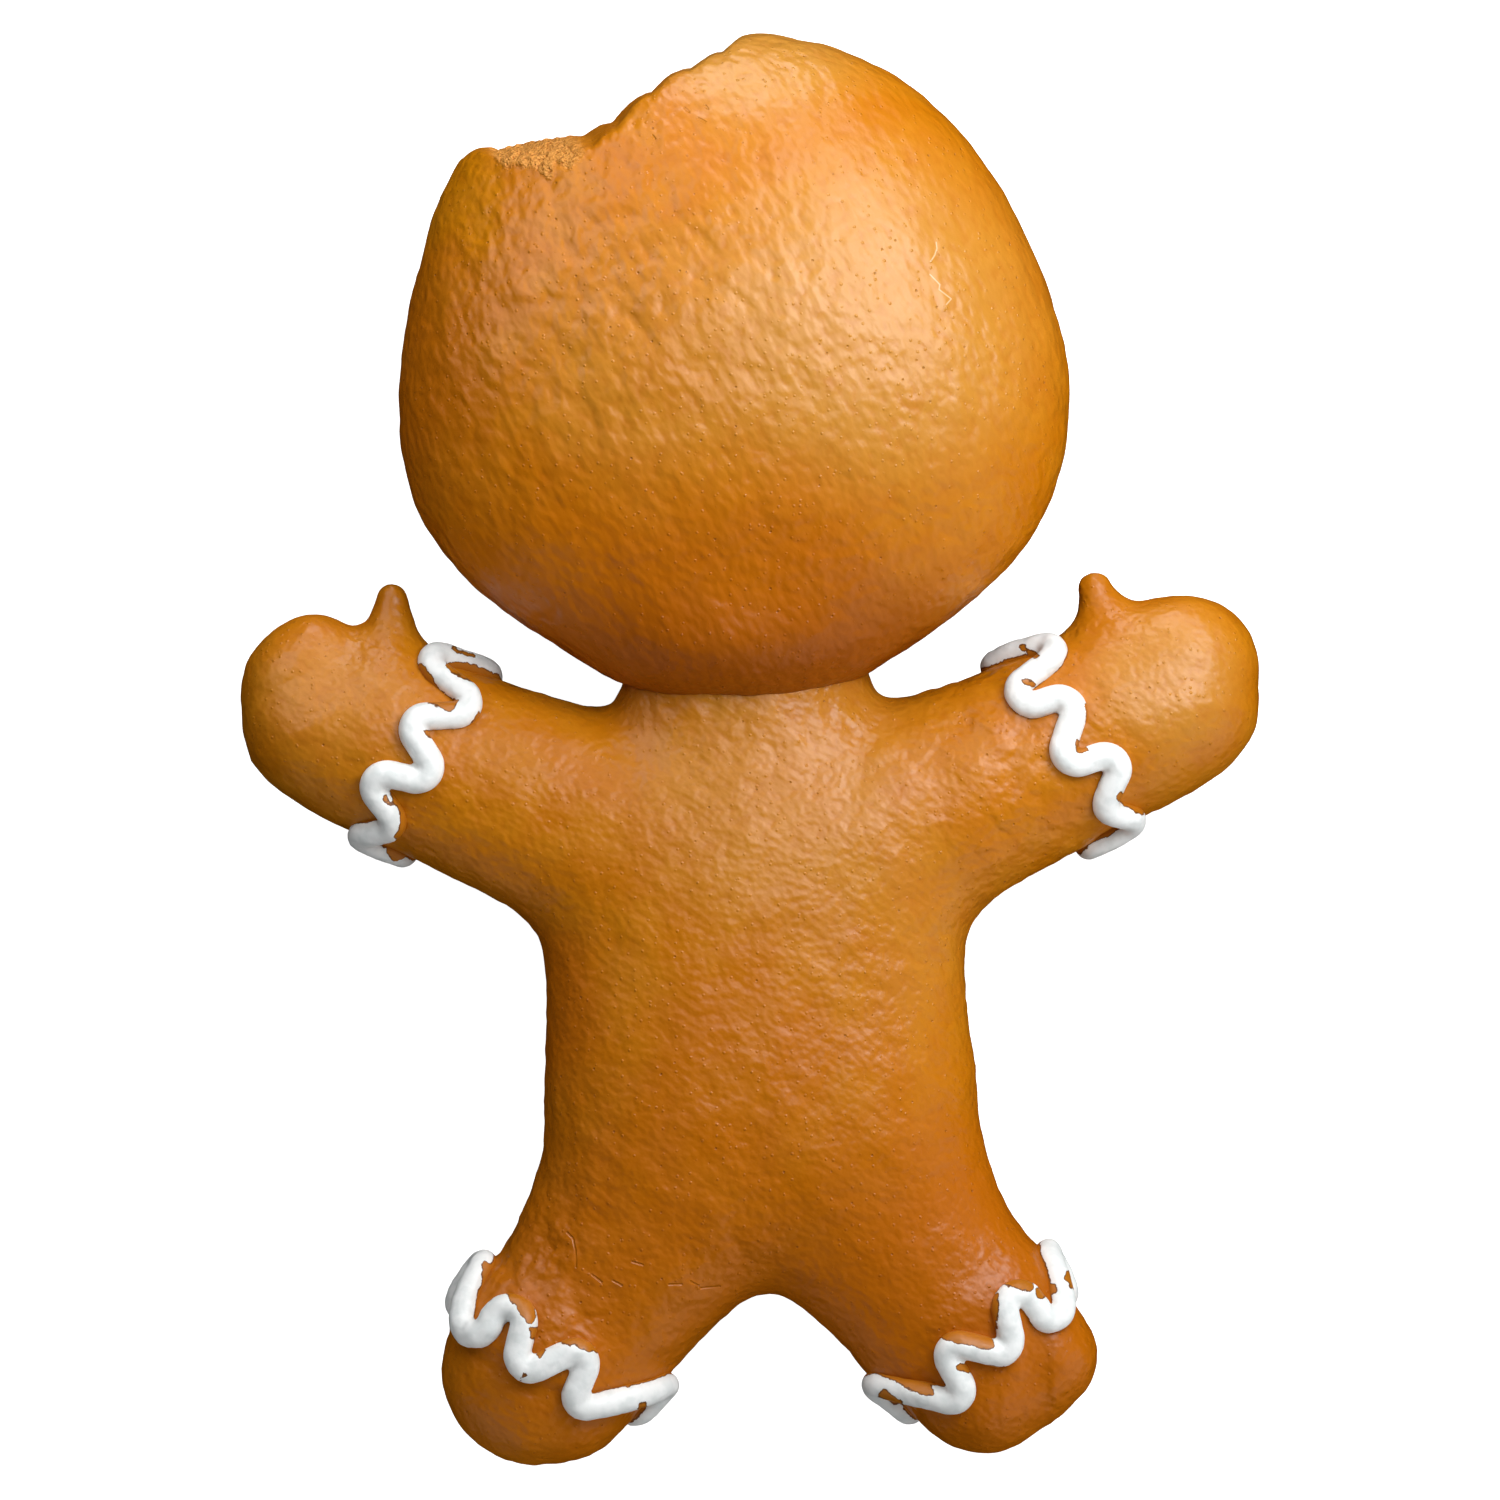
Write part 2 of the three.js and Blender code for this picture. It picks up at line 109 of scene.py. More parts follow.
# %% Floor and lights
FLOOR_SIZE = 14.0  # m
FLOOR_GLOW = 1.0  # keeps the paper white where the soft boxes reach it less
PAPER = (0.93, 0.93, 0.92, 1)
PAPER_ROUGHNESS = 0.9
WORLD_STRENGTH = 0.02
BOXES = {  # place and size in metres, power in watts, and whether the paint mirrors it
    "key_box": ((0.72, 0.52, 1.10), 0.65, 10.9, True),
    "upper_key_box": ((0.53, 1.01, 0.86), 0.65, 5.7, True),
    "top_box": ((0.14, 0.33, 1.37), 0.65, 4.4, True),
    "crown_box": ((0.00, 2.28, 0.41), 1.1, 21.0, True),
    "left_crown_box": ((-0.53, 1.01, 0.86), 0.65, 2.9, True),
    "left_fill": ((-0.91, 0.63, 0.86), 0.65, 2.6, True),
    "right_fill": ((1.11, -0.54, 0.28), 0.65, 4.0, False),
    "right_feet_box": ((1.02, -1.67, 0.92), 1.1, 9.3, False),
    "left_feet_box": ((-0.64, -1.01, 0.28), 0.65, 2.0, False),
}


def soft_box(name, place, size, power, mirrored, aim=(0.0, 0.1, 0.1)):
    """A square soft box of light that looks at the figure."""
    light = bpy.data.lights.new(name, "AREA")
    light.shape = "SQUARE"
    light.size = size
    light.energy = power
    box = bpy.data.objects.new(name, light)
    box.location = place
    box.rotation_euler = (Vector(aim) - Vector(place)).to_track_quat("-Z", "Y").to_euler()
    box.visible_camera = False
    box.visible_glossy = mirrored
    bpy.context.scene.collection.objects.link(box)
    return box


def plain_world(strength):
    world = bpy.data.worlds.new("studio")
    world.use_nodes = True
    world.node_tree.nodes["Background"].inputs["Color"].default_value = (1, 1, 1, 1)
    world.node_tree.nodes["Background"].inputs["Strength"].default_value = strength
    world.cycles_visibility.glossy = False
    bpy.context.scene.world = world


def pale_floor():
    shape = bmesh.new()
    bmesh.ops.create_grid(shape, x_segments=1, y_segments=1, size=FLOOR_SIZE / 2)
    mesh = bpy.data.meshes.new("floor")
    shape.to_mesh(mesh)
    shape.free()
    floor = bpy.data.objects.new("floor", mesh)
    bpy.context.scene.collection.objects.link(floor)
    paper = bpy.data.materials.new("floor_paper")
    paper.use_nodes = True
    shader = paper.node_tree.nodes["Principled BSDF"]
    shader.inputs["Base Color"].default_value = PAPER
    shader.inputs["Roughness"].default_value = PAPER_ROUGHNESS
    shader.inputs["Specular IOR Level"].default_value = 0.0
    shader.inputs["Emission Color"].default_value = (1, 1, 1, 1)
    shader.inputs["Emission Strength"].default_value = FLOOR_GLOW
    mesh.materials.append(paper)
    floor.visible_glossy = False
    floor.visible_diffuse = False
    return floor


pale_floor()
plain_world(WORLD_STRENGTH)
lights = [soft_box(name, *box) for name, box in BOXES.items()]
bpy.context.scene.view_settings.view_transform = "Standard"
print("lights:", [light.name for light in lights])

# %% [markdown]
# ## The form as a field
#
# A sculptor thinks of such a figure as rolls of clay smoothed into each other.  The same thing in
# numbers is a field: a function that says, for any point, how far it is outside the figure.  Each
# roll is a tapered rod with round ends, a little flattened, and a soft minimum smooths them into
# one.  Any mesh that is roughly right can then be drawn exactly onto the skin, where the field is
# zero, so the mesh's own making can stay simple.

# %% The rolls of the flesh
FLESH_SOFTNESS = 11.75  # how softly one roll runs into the next, mm

# start, end and half-widths in plan; the height of the middle; depth over width; how square the
# section is, where 2 is an ellipse
ROLLS = {
    "neck": ((-3.8, 89.8), (0.0, -41.4), (73.2, 80.9), 80, 0.66, 2.1),
    "torso": ((3.1, -117.0), (4.6, -189.5), (130.3, 132.9), 72, 0.55, 2.3),
    "arm_left": ((-79.6, -55.1), (-226.4, 4.4), (69.9, 59.2), 76, 0.80, 2),
    "hand_left": ((-270.1, 17.1), (-284.4, 43.4), (45.2, 31.3), 76, 0.95, 2),
    "palm_left": ((-274.1, 67.3), (-291.7, 21.8), (11.6, 21.2), 76, 1.20, 2),
    "thumb_left": ((-223.5, 20.9), (-225.4, 95.8), (18.3, 8.5), 76, 1, 2),
    "arm_right": ((78.2, -52.2), (227.3, 16.6), (70.7, 60.2), 76, 0.80, 2),
    "hand_right": ((272.9, 30.5), (275.7, 51.3), (47.2, 44.9), 76, 0.95, 2),
    "thumb_right": ((240.0, 27.0), (216.6, 103.0), (15.8, 8.2), 76, 1, 2),
    "leg_left": ((-47.8, -272.4), (-101.6, -355.5), (83.2, 62.3), 76, 0.70, 2),
    "foot_left": ((-139.5, -380.2), (-144.8, -390.1), (55.2, 48.3), 76, 0.86, 2),
    "heel_left": ((-134.8, -413.8), (-115.9, -411.9), (30.7, 31.9), 76, 1.10, 2),
    "leg_right": ((57.4, -253.9), (115.6, -344.9), (88.0, 62.5), 76, 0.70, 2),
    "foot_right": ((145.1, -354.7), (148.1, -396.0), (50.1, 45.7), 76, 0.92, 2),
    "heel_right": ((189.7, -381.5), (172.1, -381.4), (27.1, 10.0), 76, 1.20, 2),
}


def roll_field(points, start, end, radii, height, depth, square):
    """How far points are outside one roll."""
    start, run = np.array(start), np.subtract(end, start)
    along = np.clip((points[:, :2] - start) @ run / (run @ run), 0, 1)
    sideways = np.linalg.norm(points[:, :2] - start - along[:, None] * run, axis=1)
    upwards = np.abs(points[:, 2] - height) / depth
    away = (sideways**square + upwards**square) ** (1 / square)
    return away - (radii[0] + (radii[1] - radii[0]) * along)


def soft_minimum(distances, softness):
    """Joins fields as if the forms were one soft lump."""
    nearest = np.min(distances, axis=0)
    total = sum(np.exp((nearest - d) / softness) for d in distances)
    return nearest - softness * np.log(total)


def flesh_field(points):
    return soft_minimum([roll_field(points, *roll) for roll in ROLLS.values()], FLESH_SOFTNESS)


print("the flesh has", len(ROLLS), "rolls")

# %% The balls of the head
HEAD_SOFTNESS = 17.6  # mm
BALLS = {  # centre, radii and the turn of the long radius from +X: two crossed balls and a chin
    "left_brow": ((-37.2, 253.1, 108), (200.7, 152.5, 104), 0.764),
    "right_brow": ((2.5, 255.5, 108), (211.5, 167.8, 104), -0.66),
    "chin": ((-10.0, 68.7, 100), (81.1, 37.6, 60), 0.0),
}
HEAD_MIDDLE = BALLS["left_brow"][0][2]  # mm above the floor


def ball_field(points, centre, radii, turn):
    """About how far points are outside one ball."""
    out = points - centre
    along = out[:, 0] * math.cos(turn) + out[:, 1] * math.sin(turn)
    across = out[:, 1] * math.cos(turn) - out[:, 0] * math.sin(turn)
    away = np.sqrt((along / radii[0]) ** 2 + (across / radii[1]) ** 2 + (out[:, 2] / radii[2]) ** 2)
    return (away - 1) * min(radii[:2])


def whole_head_field(points):
    return soft_minimum([ball_field(points, *ball) for ball in BALLS.values()], HEAD_SOFTNESS)


print("the head has", len(BALLS), "balls")

# %% [markdown]
# ## Drawing a mesh onto the skin
#
# Newton's method does it: from any point near the skin, step against the field's slope by the
# field's value, a few times.  numpy does all the points of a mesh at once.

# %% Slope, and the step onto the skin
SLOPE_STEP = 0.05  # mm between two readings of a field
LEAST_STEEPNESS = 1e-9  # keeps a point where the field is level from flying off


def slope(field, points):
    """The direction in which a field grows, as a vector for each point."""
    columns = []
    for axis in range(3):
        step = np.zeros(3)
        step[axis] = SLOPE_STEP
        columns.append((field(points + step) - field(points - step)) / (2 * SLOPE_STEP))
    return np.stack(columns, axis=1)


def onto_skin(field, points, passes=4):
    for _ in range(passes):
        grows = slope(field, points)
        steep = np.sum(grows**2, axis=1) + LEAST_STEEPNESS
        points = points - (field(points) / steep)[:, None] * grows
    return points


def outwards(field, points):
    """Unit vectors that point out of the skin."""
    grows = slope(field, points)
    return grows / np.linalg.norm(grows, axis=1)[:, None]


over_the_back = np.array([[0.0, -150.0, 190.0]])
print("a point over the back lands at", onto_skin(flesh_field, over_the_back).round(2))

# %% [markdown]
# ## From rolls to a mesh
#
# The armature is quick: a ball at each end of a roll, and a convex hull stretched over the two.
# Blender's voxel remesh then melts the overlapping hulls into one even skin of small squares.
# Drawn onto the field, that skin has the exact form, with all its squares nearly alike, which is
# what fine relief needs.  It is done twice, coarse and then fine, because the first pass moves
# points a long way and leaves the squares uneven.

# %% Hulls over pairs of balls
BALL_SEGMENTS = 32


def add_ball(shape, centre, radii, turn=0.0):
    """A ball of any three radii, turned about the upright; returns its vertices."""
    stretched = Matrix.Rotation(turn, 4, "Z") @ Matrix.Diagonal((*(np.array(radii) * MM), 1))
    place = Matrix.Translation(to_frame(centre)) @ stretched
    made = bmesh.ops.create_uvsphere(
        shape, u_segments=BALL_SEGMENTS, v_segments=BALL_SEGMENTS // 2, radius=1, matrix=place
    )
    return made["verts"]


def add_roll(shape, start, end, radii, height, depth, square):
    """A tapered rod with round ends, as the hull over a ball at each end."""
    ends = []
    for (x, y), radius in zip((start, end), radii):
        ends += add_ball(shape, (x, y, height), (radius, radius, radius * depth))
    bmesh.ops.convex_hull(shape, input=ends)


def new_object(name, shape):
    """Turns a bmesh into an object that rides on the figure."""
    mesh = bpy.data.meshes.new(name)
    shape.to_mesh(mesh)
    shape.free()
    made = bpy.data.objects.new(name, mesh)
    bpy.context.scene.collection.objects.link(made)
    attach(made, "root")
    return made


# %% Melting and drawing
def apply_modifiers(made):
    """Keeps what an object's modifiers made of its mesh, and drops the modifiers."""
    bpy.context.view_layer.update()
    graph = bpy.context.evaluated_depsgraph_get()
    finished = bpy.data.meshes.new_from_object(made.evaluated_get(graph))
    made.modifiers.clear()
    old, made.data = made.data, finished
    bpy.data.meshes.remove(old)


def melt(made, size):
    """Voxel remesh: overlapping closed shells become one even skin. The size is in mm."""
    skin = made.modifiers.new("melt", "REMESH")
    skin.mode = "VOXEL"
    skin.voxel_size = size * MM
    skin.use_smooth_shade = True
    apply_modifiers(made)


def drawn_points(made):
    """A mesh's points as millimetres on the drawing."""
    flat = np.empty(len(made.data.vertices) * 3, dtype=np.float32)
    made.data.vertices.foreach_get("co", flat)
    return to_drawing(flat.reshape(-1, 3))


def put_points(made, points):
    """Writes points back; what would be under the floor is pressed flat on it."""
    placed = to_frame(points)
    placed[:, 2] = np.maximum(placed[:, 2], 0)
    made.data.vertices.foreach_set("co", placed.astype(np.float32).ravel())
    made.data.update()


def skin_over(made, field, sizes):
    """Melts and draws at each voxel size in turn."""
    for size in sizes:
        melt(made, size)
        put_points(made, onto_skin(field, drawn_points(made)))
    print(made.name, "has", len(made.data.polygons), "faces")


# %% [markdown]
# ## The body
#
# Trunk, arms and legs are one piece with the neck, which runs up inside the head.

# %% The body's skin
BODY_CELLS = (6.0, 2.8)  # coarse and fine squares, mm

shape = bmesh.new()
for roll in ROLLS.values():
    add_roll(shape, *roll)
body = new_object("body_casting", shape)
skin_over(body, flesh_field, BODY_CELLS)

# %% [markdown]
# ## The bite
#
# The bite is a second field, the distance out past a wall that stands near the line from one
# corner of the bite to the other.  The wall is a row of lumps with creases between them.  It
# leans in a little as it rises, and more in its first half, where it makes a rough apron.
# The head is what lies inside both fields.  A soft maximum joins them, because in a painted
# casting no edge is sharp.

# %% The wall of the bite
BITE_FROM = np.array([-184.0, 371.0])
BITE_TO = np.array([2.0, 449.0])
BITE_START = -1.0  # how far outside that line the first lump starts, mm
BITE_LUMPS = (  # where each ends along the line, how far outside it, and its bulge, mm
    (26, -7.5, 3.2),
    (78, -19.3, 1.3),
    (97, -19.2, 1.6),
    (126, -11.3, 2.6),
    (155, -7.4, 3.0),
    (178, -4.8, 2.0),
    (204, 0.0, 2.0),
)
LUMP_LEAN = 0.65  # under 1, the bulge of each lump leans towards its far end
CREASE_SWAY = 3.0  # how far the creases wander as they run down the wall, mm
SWAY_RISE, SWAY_RUN = 23.0, 31.0  # mm up the wall and mm along it for each radian of that wandering
SWAY_FULL = 20.0  # how high above the middle of the head it is full, mm
BITE_LEAN = 0.15  # how far the wall leans in for each mm above the middle of the head
APRON = ((0, 0), (25, 4), (62, 6), (95, 2), (120, 0))  # along the line, how much more it leans in, mm
APRON_RISE = 55.0  # at what height above the middle of the head it leans in that much, mm
APRON_TOP = 1.4  # above so many times that height it leans in no further
RIM_ROUNDING = 2.2  # softness of the bite's edge, mm

bite_run = (BITE_TO - BITE_FROM) / np.linalg.norm(BITE_TO - BITE_FROM)
bite_out = np.array([-bite_run[1], bite_run[0]])
bite_length = np.linalg.norm(BITE_TO - BITE_FROM)


def bite_lumps(along):
    """How far outside the line of the corners the lumps stand."""
    ends = np.array([0.0] + [end for end, _, _ in BITE_LUMPS])
    outs = np.array([BITE_START] + [out for _, out, _ in BITE_LUMPS])
    standing = np.interp(along, ends, outs)
    for start, (end, _, bulge) in zip(ends, BITE_LUMPS):
        share = np.clip((along - start) / (end - start), 0, 1) ** (1 / LUMP_LEAN)
        standing += bulge * 4 * share * (1 - share)
    return standing


def bite_field(points):
    """How far points are out past the wall of the bite."""
    along = (points[:, :2] - BITE_FROM) @ bite_run
    out = (points[:, :2] - BITE_FROM) @ bite_out
    up = points[:, 2] - HEAD_MIDDLE
    above = np.maximum(up, 0)
    apron = np.interp(along, *zip(*APRON)) * np.minimum(above / APRON_RISE, APRON_TOP) ** 2
    lean = BITE_LEAN * above + apron
    sway = CREASE_SWAY * np.sin(up / SWAY_RISE + along / SWAY_RUN) * np.minimum(above / SWAY_FULL, 1)
    return out + lean - bite_lumps(along + sway)


def head_field(points):
    """The head with the bite out of it."""
    return -soft_minimum([-whole_head_field(points), -bite_field(points)], RIM_ROUNDING)


print("the bite is", round(bite_length), "mm from corner to corner")

# %% The head's skin
HEAD_CELLS = (6.0, 2.8)  # coarse and fine squares, mm
WALL_BAND = 17.0  # how far in from the rim the squares are halved for the crumbs, mm
WALL_BOTTOM = 84.0  # and down to what height on the wall, mm

shape = bmesh.new()
for ball in BALLS.values():
    add_ball(shape, *ball)
head = new_object("head_casting", shape)
skin_over(head, head_field, HEAD_CELLS)


# %% Finer squares at the bite
def by_the_bite(points):
    """Which points are on the bite's wall or near its rim."""
    return (bite_field(points) > -WALL_BAND) & (points[:, 2] > WALL_BOTTOM)


def halve_squares(made, chosen):
    """Cuts every square whose corners are all chosen into four."""
    shape = bmesh.new()
    shape.from_mesh(made.data)
    shape.verts.ensure_lookup_table()
    inside = [face for face in shape.faces if all(chosen[corner.index] for corner in face.verts)]
    edges = {edge for face in inside for edge in face.edges}
    bmesh.ops.subdivide_edges(shape, edges=list(edges), cuts=1, use_grid_fill=True)
    for face in shape.faces:
        face.smooth = True
    shape.to_mesh(made.data)
    shape.free()
    print(made.name, "halved", len(inside), "squares, now", len(made.data.polygons), "faces")


halve_squares(head, by_the_bite(drawn_points(head)))
put_points(head, onto_skin(head_field, drawn_points(head), passes=2))

# %% [markdown]
# ## Paint's peel
#
# The paint went on thick.  It dried in soft lumps about a centimetre apart on the head and
# somewhat closer on the trunk, over slow waves of the casting itself.  The larger of these are in
# the mesh: Blender's noise gives a height for every point, and the points move along the skin's
# normals.  The hands were rubbed smoother.  The smallest lumps come later, from the material.

# %% Relief
LUMP_UNITS = 1.8  # Blender's noise has a lump about every 1.8 of its units
SLOW_WAVES_APART, SLOW_WAVES_HEIGHT = 60.0, 0.45  # mm
WIDE_LUMPS_APART, WIDE_LUMPS_HEIGHT = 24.0, 0.36  # mm
LUMPS_HEIGHT = 0.22  # mm; how far apart they are differs between body and head


def waves(points, length, stretch=(1, 1, 1), turn=0.0, seed=0.0):
    """Smooth noise from -1 to 1 with lumps `length` mm apart, longer along an axis with a stretch."""
    turned = points @ np.array(Matrix.Rotation(turn, 3, "Z"))
    spots = turned * (LUMP_UNITS / length) / np.array(stretch) + seed
    return 2 * np.array([noise.noise(spot) for spot in spots.tolist()])


def peel(points, lump, stretch, turn):
    """The height of the casting's waves and the larger lumps of its paint, mm."""
    return (
        SLOW_WAVES_HEIGHT * waves(points, SLOW_WAVES_APART, seed=3.1)
        + WIDE_LUMPS_HEIGHT * waves(points, WIDE_LUMPS_APART, stretch, turn, seed=5.9)
        + LUMPS_HEIGHT * waves(points, lump, stretch, turn, seed=7.7)
    )


def livelier(points, places):
    """By how much the relief is stronger, or weaker, near some places."""
    gain = np.ones(len(points))
    for centre, reach, more in places:
        gain += more * np.exp(-np.sum((points[:, :2] - centre) ** 2, axis=1) / reach**2)
    return gain


def set_attribute(made, name, values):
    column = made.data.attributes.new(name, "FLOAT", "POINT")
    column.data.foreach_set("value", np.asarray(values, dtype=np.float32))


# %% Waves of the body
BODY_LUMP = 11.0  # mm
BODY_STRETCH = (1.15, 0.95, 1.0)
BODY_TURN = -0.6  # the direction in which the lumps of the body are longer, radians
BODY_LIVELY = (  # where the relief is stronger: centre, reach in mm, gain
    ((155, -6), 60, 1.2), ((-117, -328), 50, 1.2), ((-31, -248), 60, 0.6),
    ((88, -130), 40, 0.4), ((-5, 25), 60, 0.8),
)
SMOOTH_HANDS = 0.7  # how much of the relief the hands and thumbs keep
HAND_FADE = (235.0, 285.0)  # between these distances from the middle line it falls to that, mm
# a patch of creases at the left hip: lengths in mm; how much they wander and how uneven they are
HIP_CREASES = {"middle": (-119.0, -307.0), "reach": 27.0, "apart": 9.5, "height": 0.75, "turn": -0.45}
CREASE_NOISE, CREASE_WANDER, CREASE_UNEVEN = 26.0, 2.2, 0.4

points = drawn_points(body)
hands = np.clip((np.abs(points[:, 0]) - HAND_FADE[0]) / (HAND_FADE[1] - HAND_FADE[0]), 0, 1)
keep = 1 - (1 - SMOOTH_HANDS) * hands
height = keep * livelier(points, BODY_LIVELY) * peel(points, BODY_LUMP, BODY_STRETCH, BODY_TURN)
on_back = points[:, 2] > ROLLS["torso"][3]
away = points[:, :2] - HIP_CREASES["middle"]
across = away[:, 0] * math.cos(HIP_CREASES["turn"]) + away[:, 1] * math.sin(HIP_CREASES["turn"])
fade = np.exp(-np.sum(away**2, axis=1) / HIP_CREASES["reach"] ** 2)
wander = waves(points, CREASE_NOISE, seed=21.0)
ridges = np.sin(across * 2 * math.pi / HIP_CREASES["apart"] + CREASE_WANDER * wander)
ridges *= 1 - CREASE_UNEVEN + CREASE_UNEVEN * wander
height += on_back * HIP_CREASES["height"] * fade * ridges
put_points(body, points + height[:, None] * outwards(flesh_field, points))
set_attribute(body, "relief", keep)
print("body relief, mm:", height.min().round(2), "to", height.max().round(2))

# %% Waves of the head
HEAD_LUMP = 13.0  # mm
HEAD_STRETCH = (1.4, 0.9, 1.0)
HEAD_TURN = -1.05
HEAD_LIVELY = (((-60, 271), 75, 1.5), ((95, 330), 110, -0.45))  # stronger at one place, weaker at one
WALL_CALM = 0.6  # by how much the relief is weaker on the wall of the bite
WALL_FADE = (-4.0, 1.0)  # from how far inside the wall to how far outside it that grows, mm

points = drawn_points(head)
lively = livelier(points, HEAD_LIVELY)
at_wall = np.clip((bite_field(points) - WALL_FADE[0]) / (WALL_FADE[1] - WALL_FADE[0]), 0, 1)
height = (1 - WALL_CALM * at_wall) * lively * peel(points, HEAD_LUMP, HEAD_STRETCH, HEAD_TURN)
normals = outwards(head_field, points)

# %% [markdown]
# ## Crumbs
#
# Where the bite tears the biscuit, the sculptor stippled crumbs: rounded grains of three to six
# millimetres with small pits between them.  Worley noise gives the distance to the nearest of many
# scattered points, which makes just such grains.  They are strongest on the apron at the first
# corner and weak along the rest of the rim.

# %% Crumbs on the bite
CRUMB = 6.0  # width of a grain, mm
CRUMB_HEIGHT = 3.2
FINE_CRUMB = 2.9
FINE_CRUMB_HEIGHT = 1.3
CLOD, CLOD_HEIGHT = 13.0, 1.0  # the wider clods under the crumbs, mm
# along the line from corner to corner, how far in from the rim crumbs spread and how strong they are
CRUMBS_REACH = ((0, -2), (14, -1), (22, 3), (34, 8), (48, 9), (60, 8), (72, 4), (80, 0), (204, 0))
CRUMBS_STRENGTH = ((0, 0.1), (18, 0.3), (28, 0.9), (62, 1), (76, 0.35), (90, 0.25), (204, 0.25))
# how ragged their edge is: share of the reach, mm along the rim for each radian, and start
CRUMBS_RAGGED = ((0.35, 3.3, 0.0), (0.25, 1.9, 1.0))
CRUMBS_FADE = 5.0  # over how many mm they thin out
CRUMBS_EDGE = 0.4  # how much of them is left at the end of their reach
CRUMBS_CALM = 0.5  # by how much the paint's finest relief is weaker under them


def grains(points, size, seed=0.0):
    """Rounded grains: over 0 at the middle of each and under 0 between them."""
    spots = points / size + seed
    return np.array([0.5 - noise.voronoi(spot)[0][0] for spot in spots.tolist()])


def roughness_of_bite(points):
    """From 0 away from the bite to 1 on its apron."""
    along = (points[:, :2] - BITE_FROM) @ bite_run
    inside = -bite_field(points)
    ragged = 1 + sum(share * np.sin(along / length + start) for share, length, start in CRUMBS_RAGGED)
    reach = np.interp(along, *zip(*CRUMBS_REACH)) * ragged
    strength = np.interp(along, *zip(*CRUMBS_STRENGTH))
    spread = np.clip((reach - inside) / CRUMBS_FADE + CRUMBS_EDGE, 0, 1)
    return spread * strength * (points[:, 2] > WALL_BOTTOM)


rough = np.zeros(len(points))
near = by_the_bite(points)
rough[near] = roughness_of_bite(points[near])
chosen = rough > 0
crumb = np.zeros(len(points))
crumb[chosen] = CLOD_HEIGHT * waves(points[chosen], CLOD, seed=61.0)
crumb[chosen] += CRUMB_HEIGHT * grains(points[chosen], CRUMB)
crumb[chosen] += FINE_CRUMB_HEIGHT * grains(points[chosen], FINE_CRUMB, 9.0)
height += crumb * rough
put_points(head, points + height[:, None] * normals)
set_attribute(head, "relief", (1 - CRUMBS_CALM * rough) * np.minimum(lively, 1))
set_attribute(head, "crumbs", rough)
print("head relief, mm:", height.min().round(2), "to", height.max().round(2))

# %% [markdown]
# ## Beads of icing
#
# Each limb has a raised bead round it that meanders like icing from a bag.  Think of the limb's
# skin unrolled flat, with pegs standing in it: the bead is a belt that passes the pegs on
# alternate sides, an arc round each and a straight from one to the next.  Rolled up again, that
# line lies on the skin.  A curve with a round bevel makes a tube along it, and the voxel remesh
# melts the tube's tight bends as soft icing would.

# %% The bands and their pegs
BEAD_RADIUS = 8.7  # mm
BEAD_LIFT = 1.9  # how far the middle of the bead is above the skin, mm
BEAD_BEND = 9.9  # radius of the arc round a peg, mm
ARC_STEP = math.radians(12)
STRAIGHT_STEP = 3.0  # mm
SKIN_SEARCH_STEP = 2.0  # mm

# Pegs are an angle round the limb, 0 at the back and 90 on the side of "across", and a distance
# along it.  Every second one has the bead on its far side.  The hidden pegs close the loop.
BANDS = {
    "icing_wrist_left": {
        "centre": (-206, -3.5, 76), "along": (-0.924, 0.383), "across": (0.383, 0.924), "girth": 57,
        "pegs": ((102, -9), (70, 7), (44.5, -7), (19, 0), (-7, -1), (-29, 9), (-53, 9), (-78, 6)),
        "hidden": (6, (7, -2)),
    },
    "icing_wrist_right": {
        "centre": (197, 3, 76), "along": (0.906, 0.423), "across": (-0.423, 0.906), "girth": 57,
        "pegs": ((103, -8), (69, 9), (44, -4.5), (23, 3), (-5, 5), (-26, 13), (-51, 16), (-74, 9)),
        "hidden": (6, (7, -2)),
    },
    "icing_ankle_left": {
        "centre": (-112, -366, 76), "along": (-0.5, -0.866), "across": (0.866, -0.5), "girth": 60,
        "pegs": ((-88, 1), (-57, 18.5), (-39.5, 10), (-17, 18), (11, 13), (31, 22), (82, 9), (104, 17)),
        "hidden": (6, (16, 5)),
    },
    "icing_ankle_right": {
        "centre": (134, -362, 76), "along": (0.58, -0.815), "across": (-0.815, -0.58), "girth": 60,
        "pegs": ((-88, 4), (-58, 16), (-38, 7), (-16, 13), (13, 11), (34, 21), (80, 7), (104, 17)),
        "hidden": (6, (16, 5)),
    },
}


def all_pegs(band):
    """The pegs as points on the unrolled limb, and the length once round it with its sign."""
    pegs = list(band["pegs"])
    turn = math.copysign(1, pegs[-1][0] - pegs[0][0])
    count, alongs = band["hidden"]
    step = (pegs[0][0] + turn * 360 - pegs[-1][0]) / (count + 1)
    last = pegs[-1][0]
    pegs += [(last + step * n, alongs[n % 2]) for n in range(1, count + 1)]
    spots = [Vector((math.radians(angle) * band["girth"], along)) for angle, along in pegs]
    return spots, turn * 2 * math.pi * band["girth"]


print("pegs:", {name: len(all_pegs(band)[0]) for name, band in BANDS.items()})


# %% The belt round the pegs
def angle_of(direction):
    return math.atan2(direction.y, direction.x)


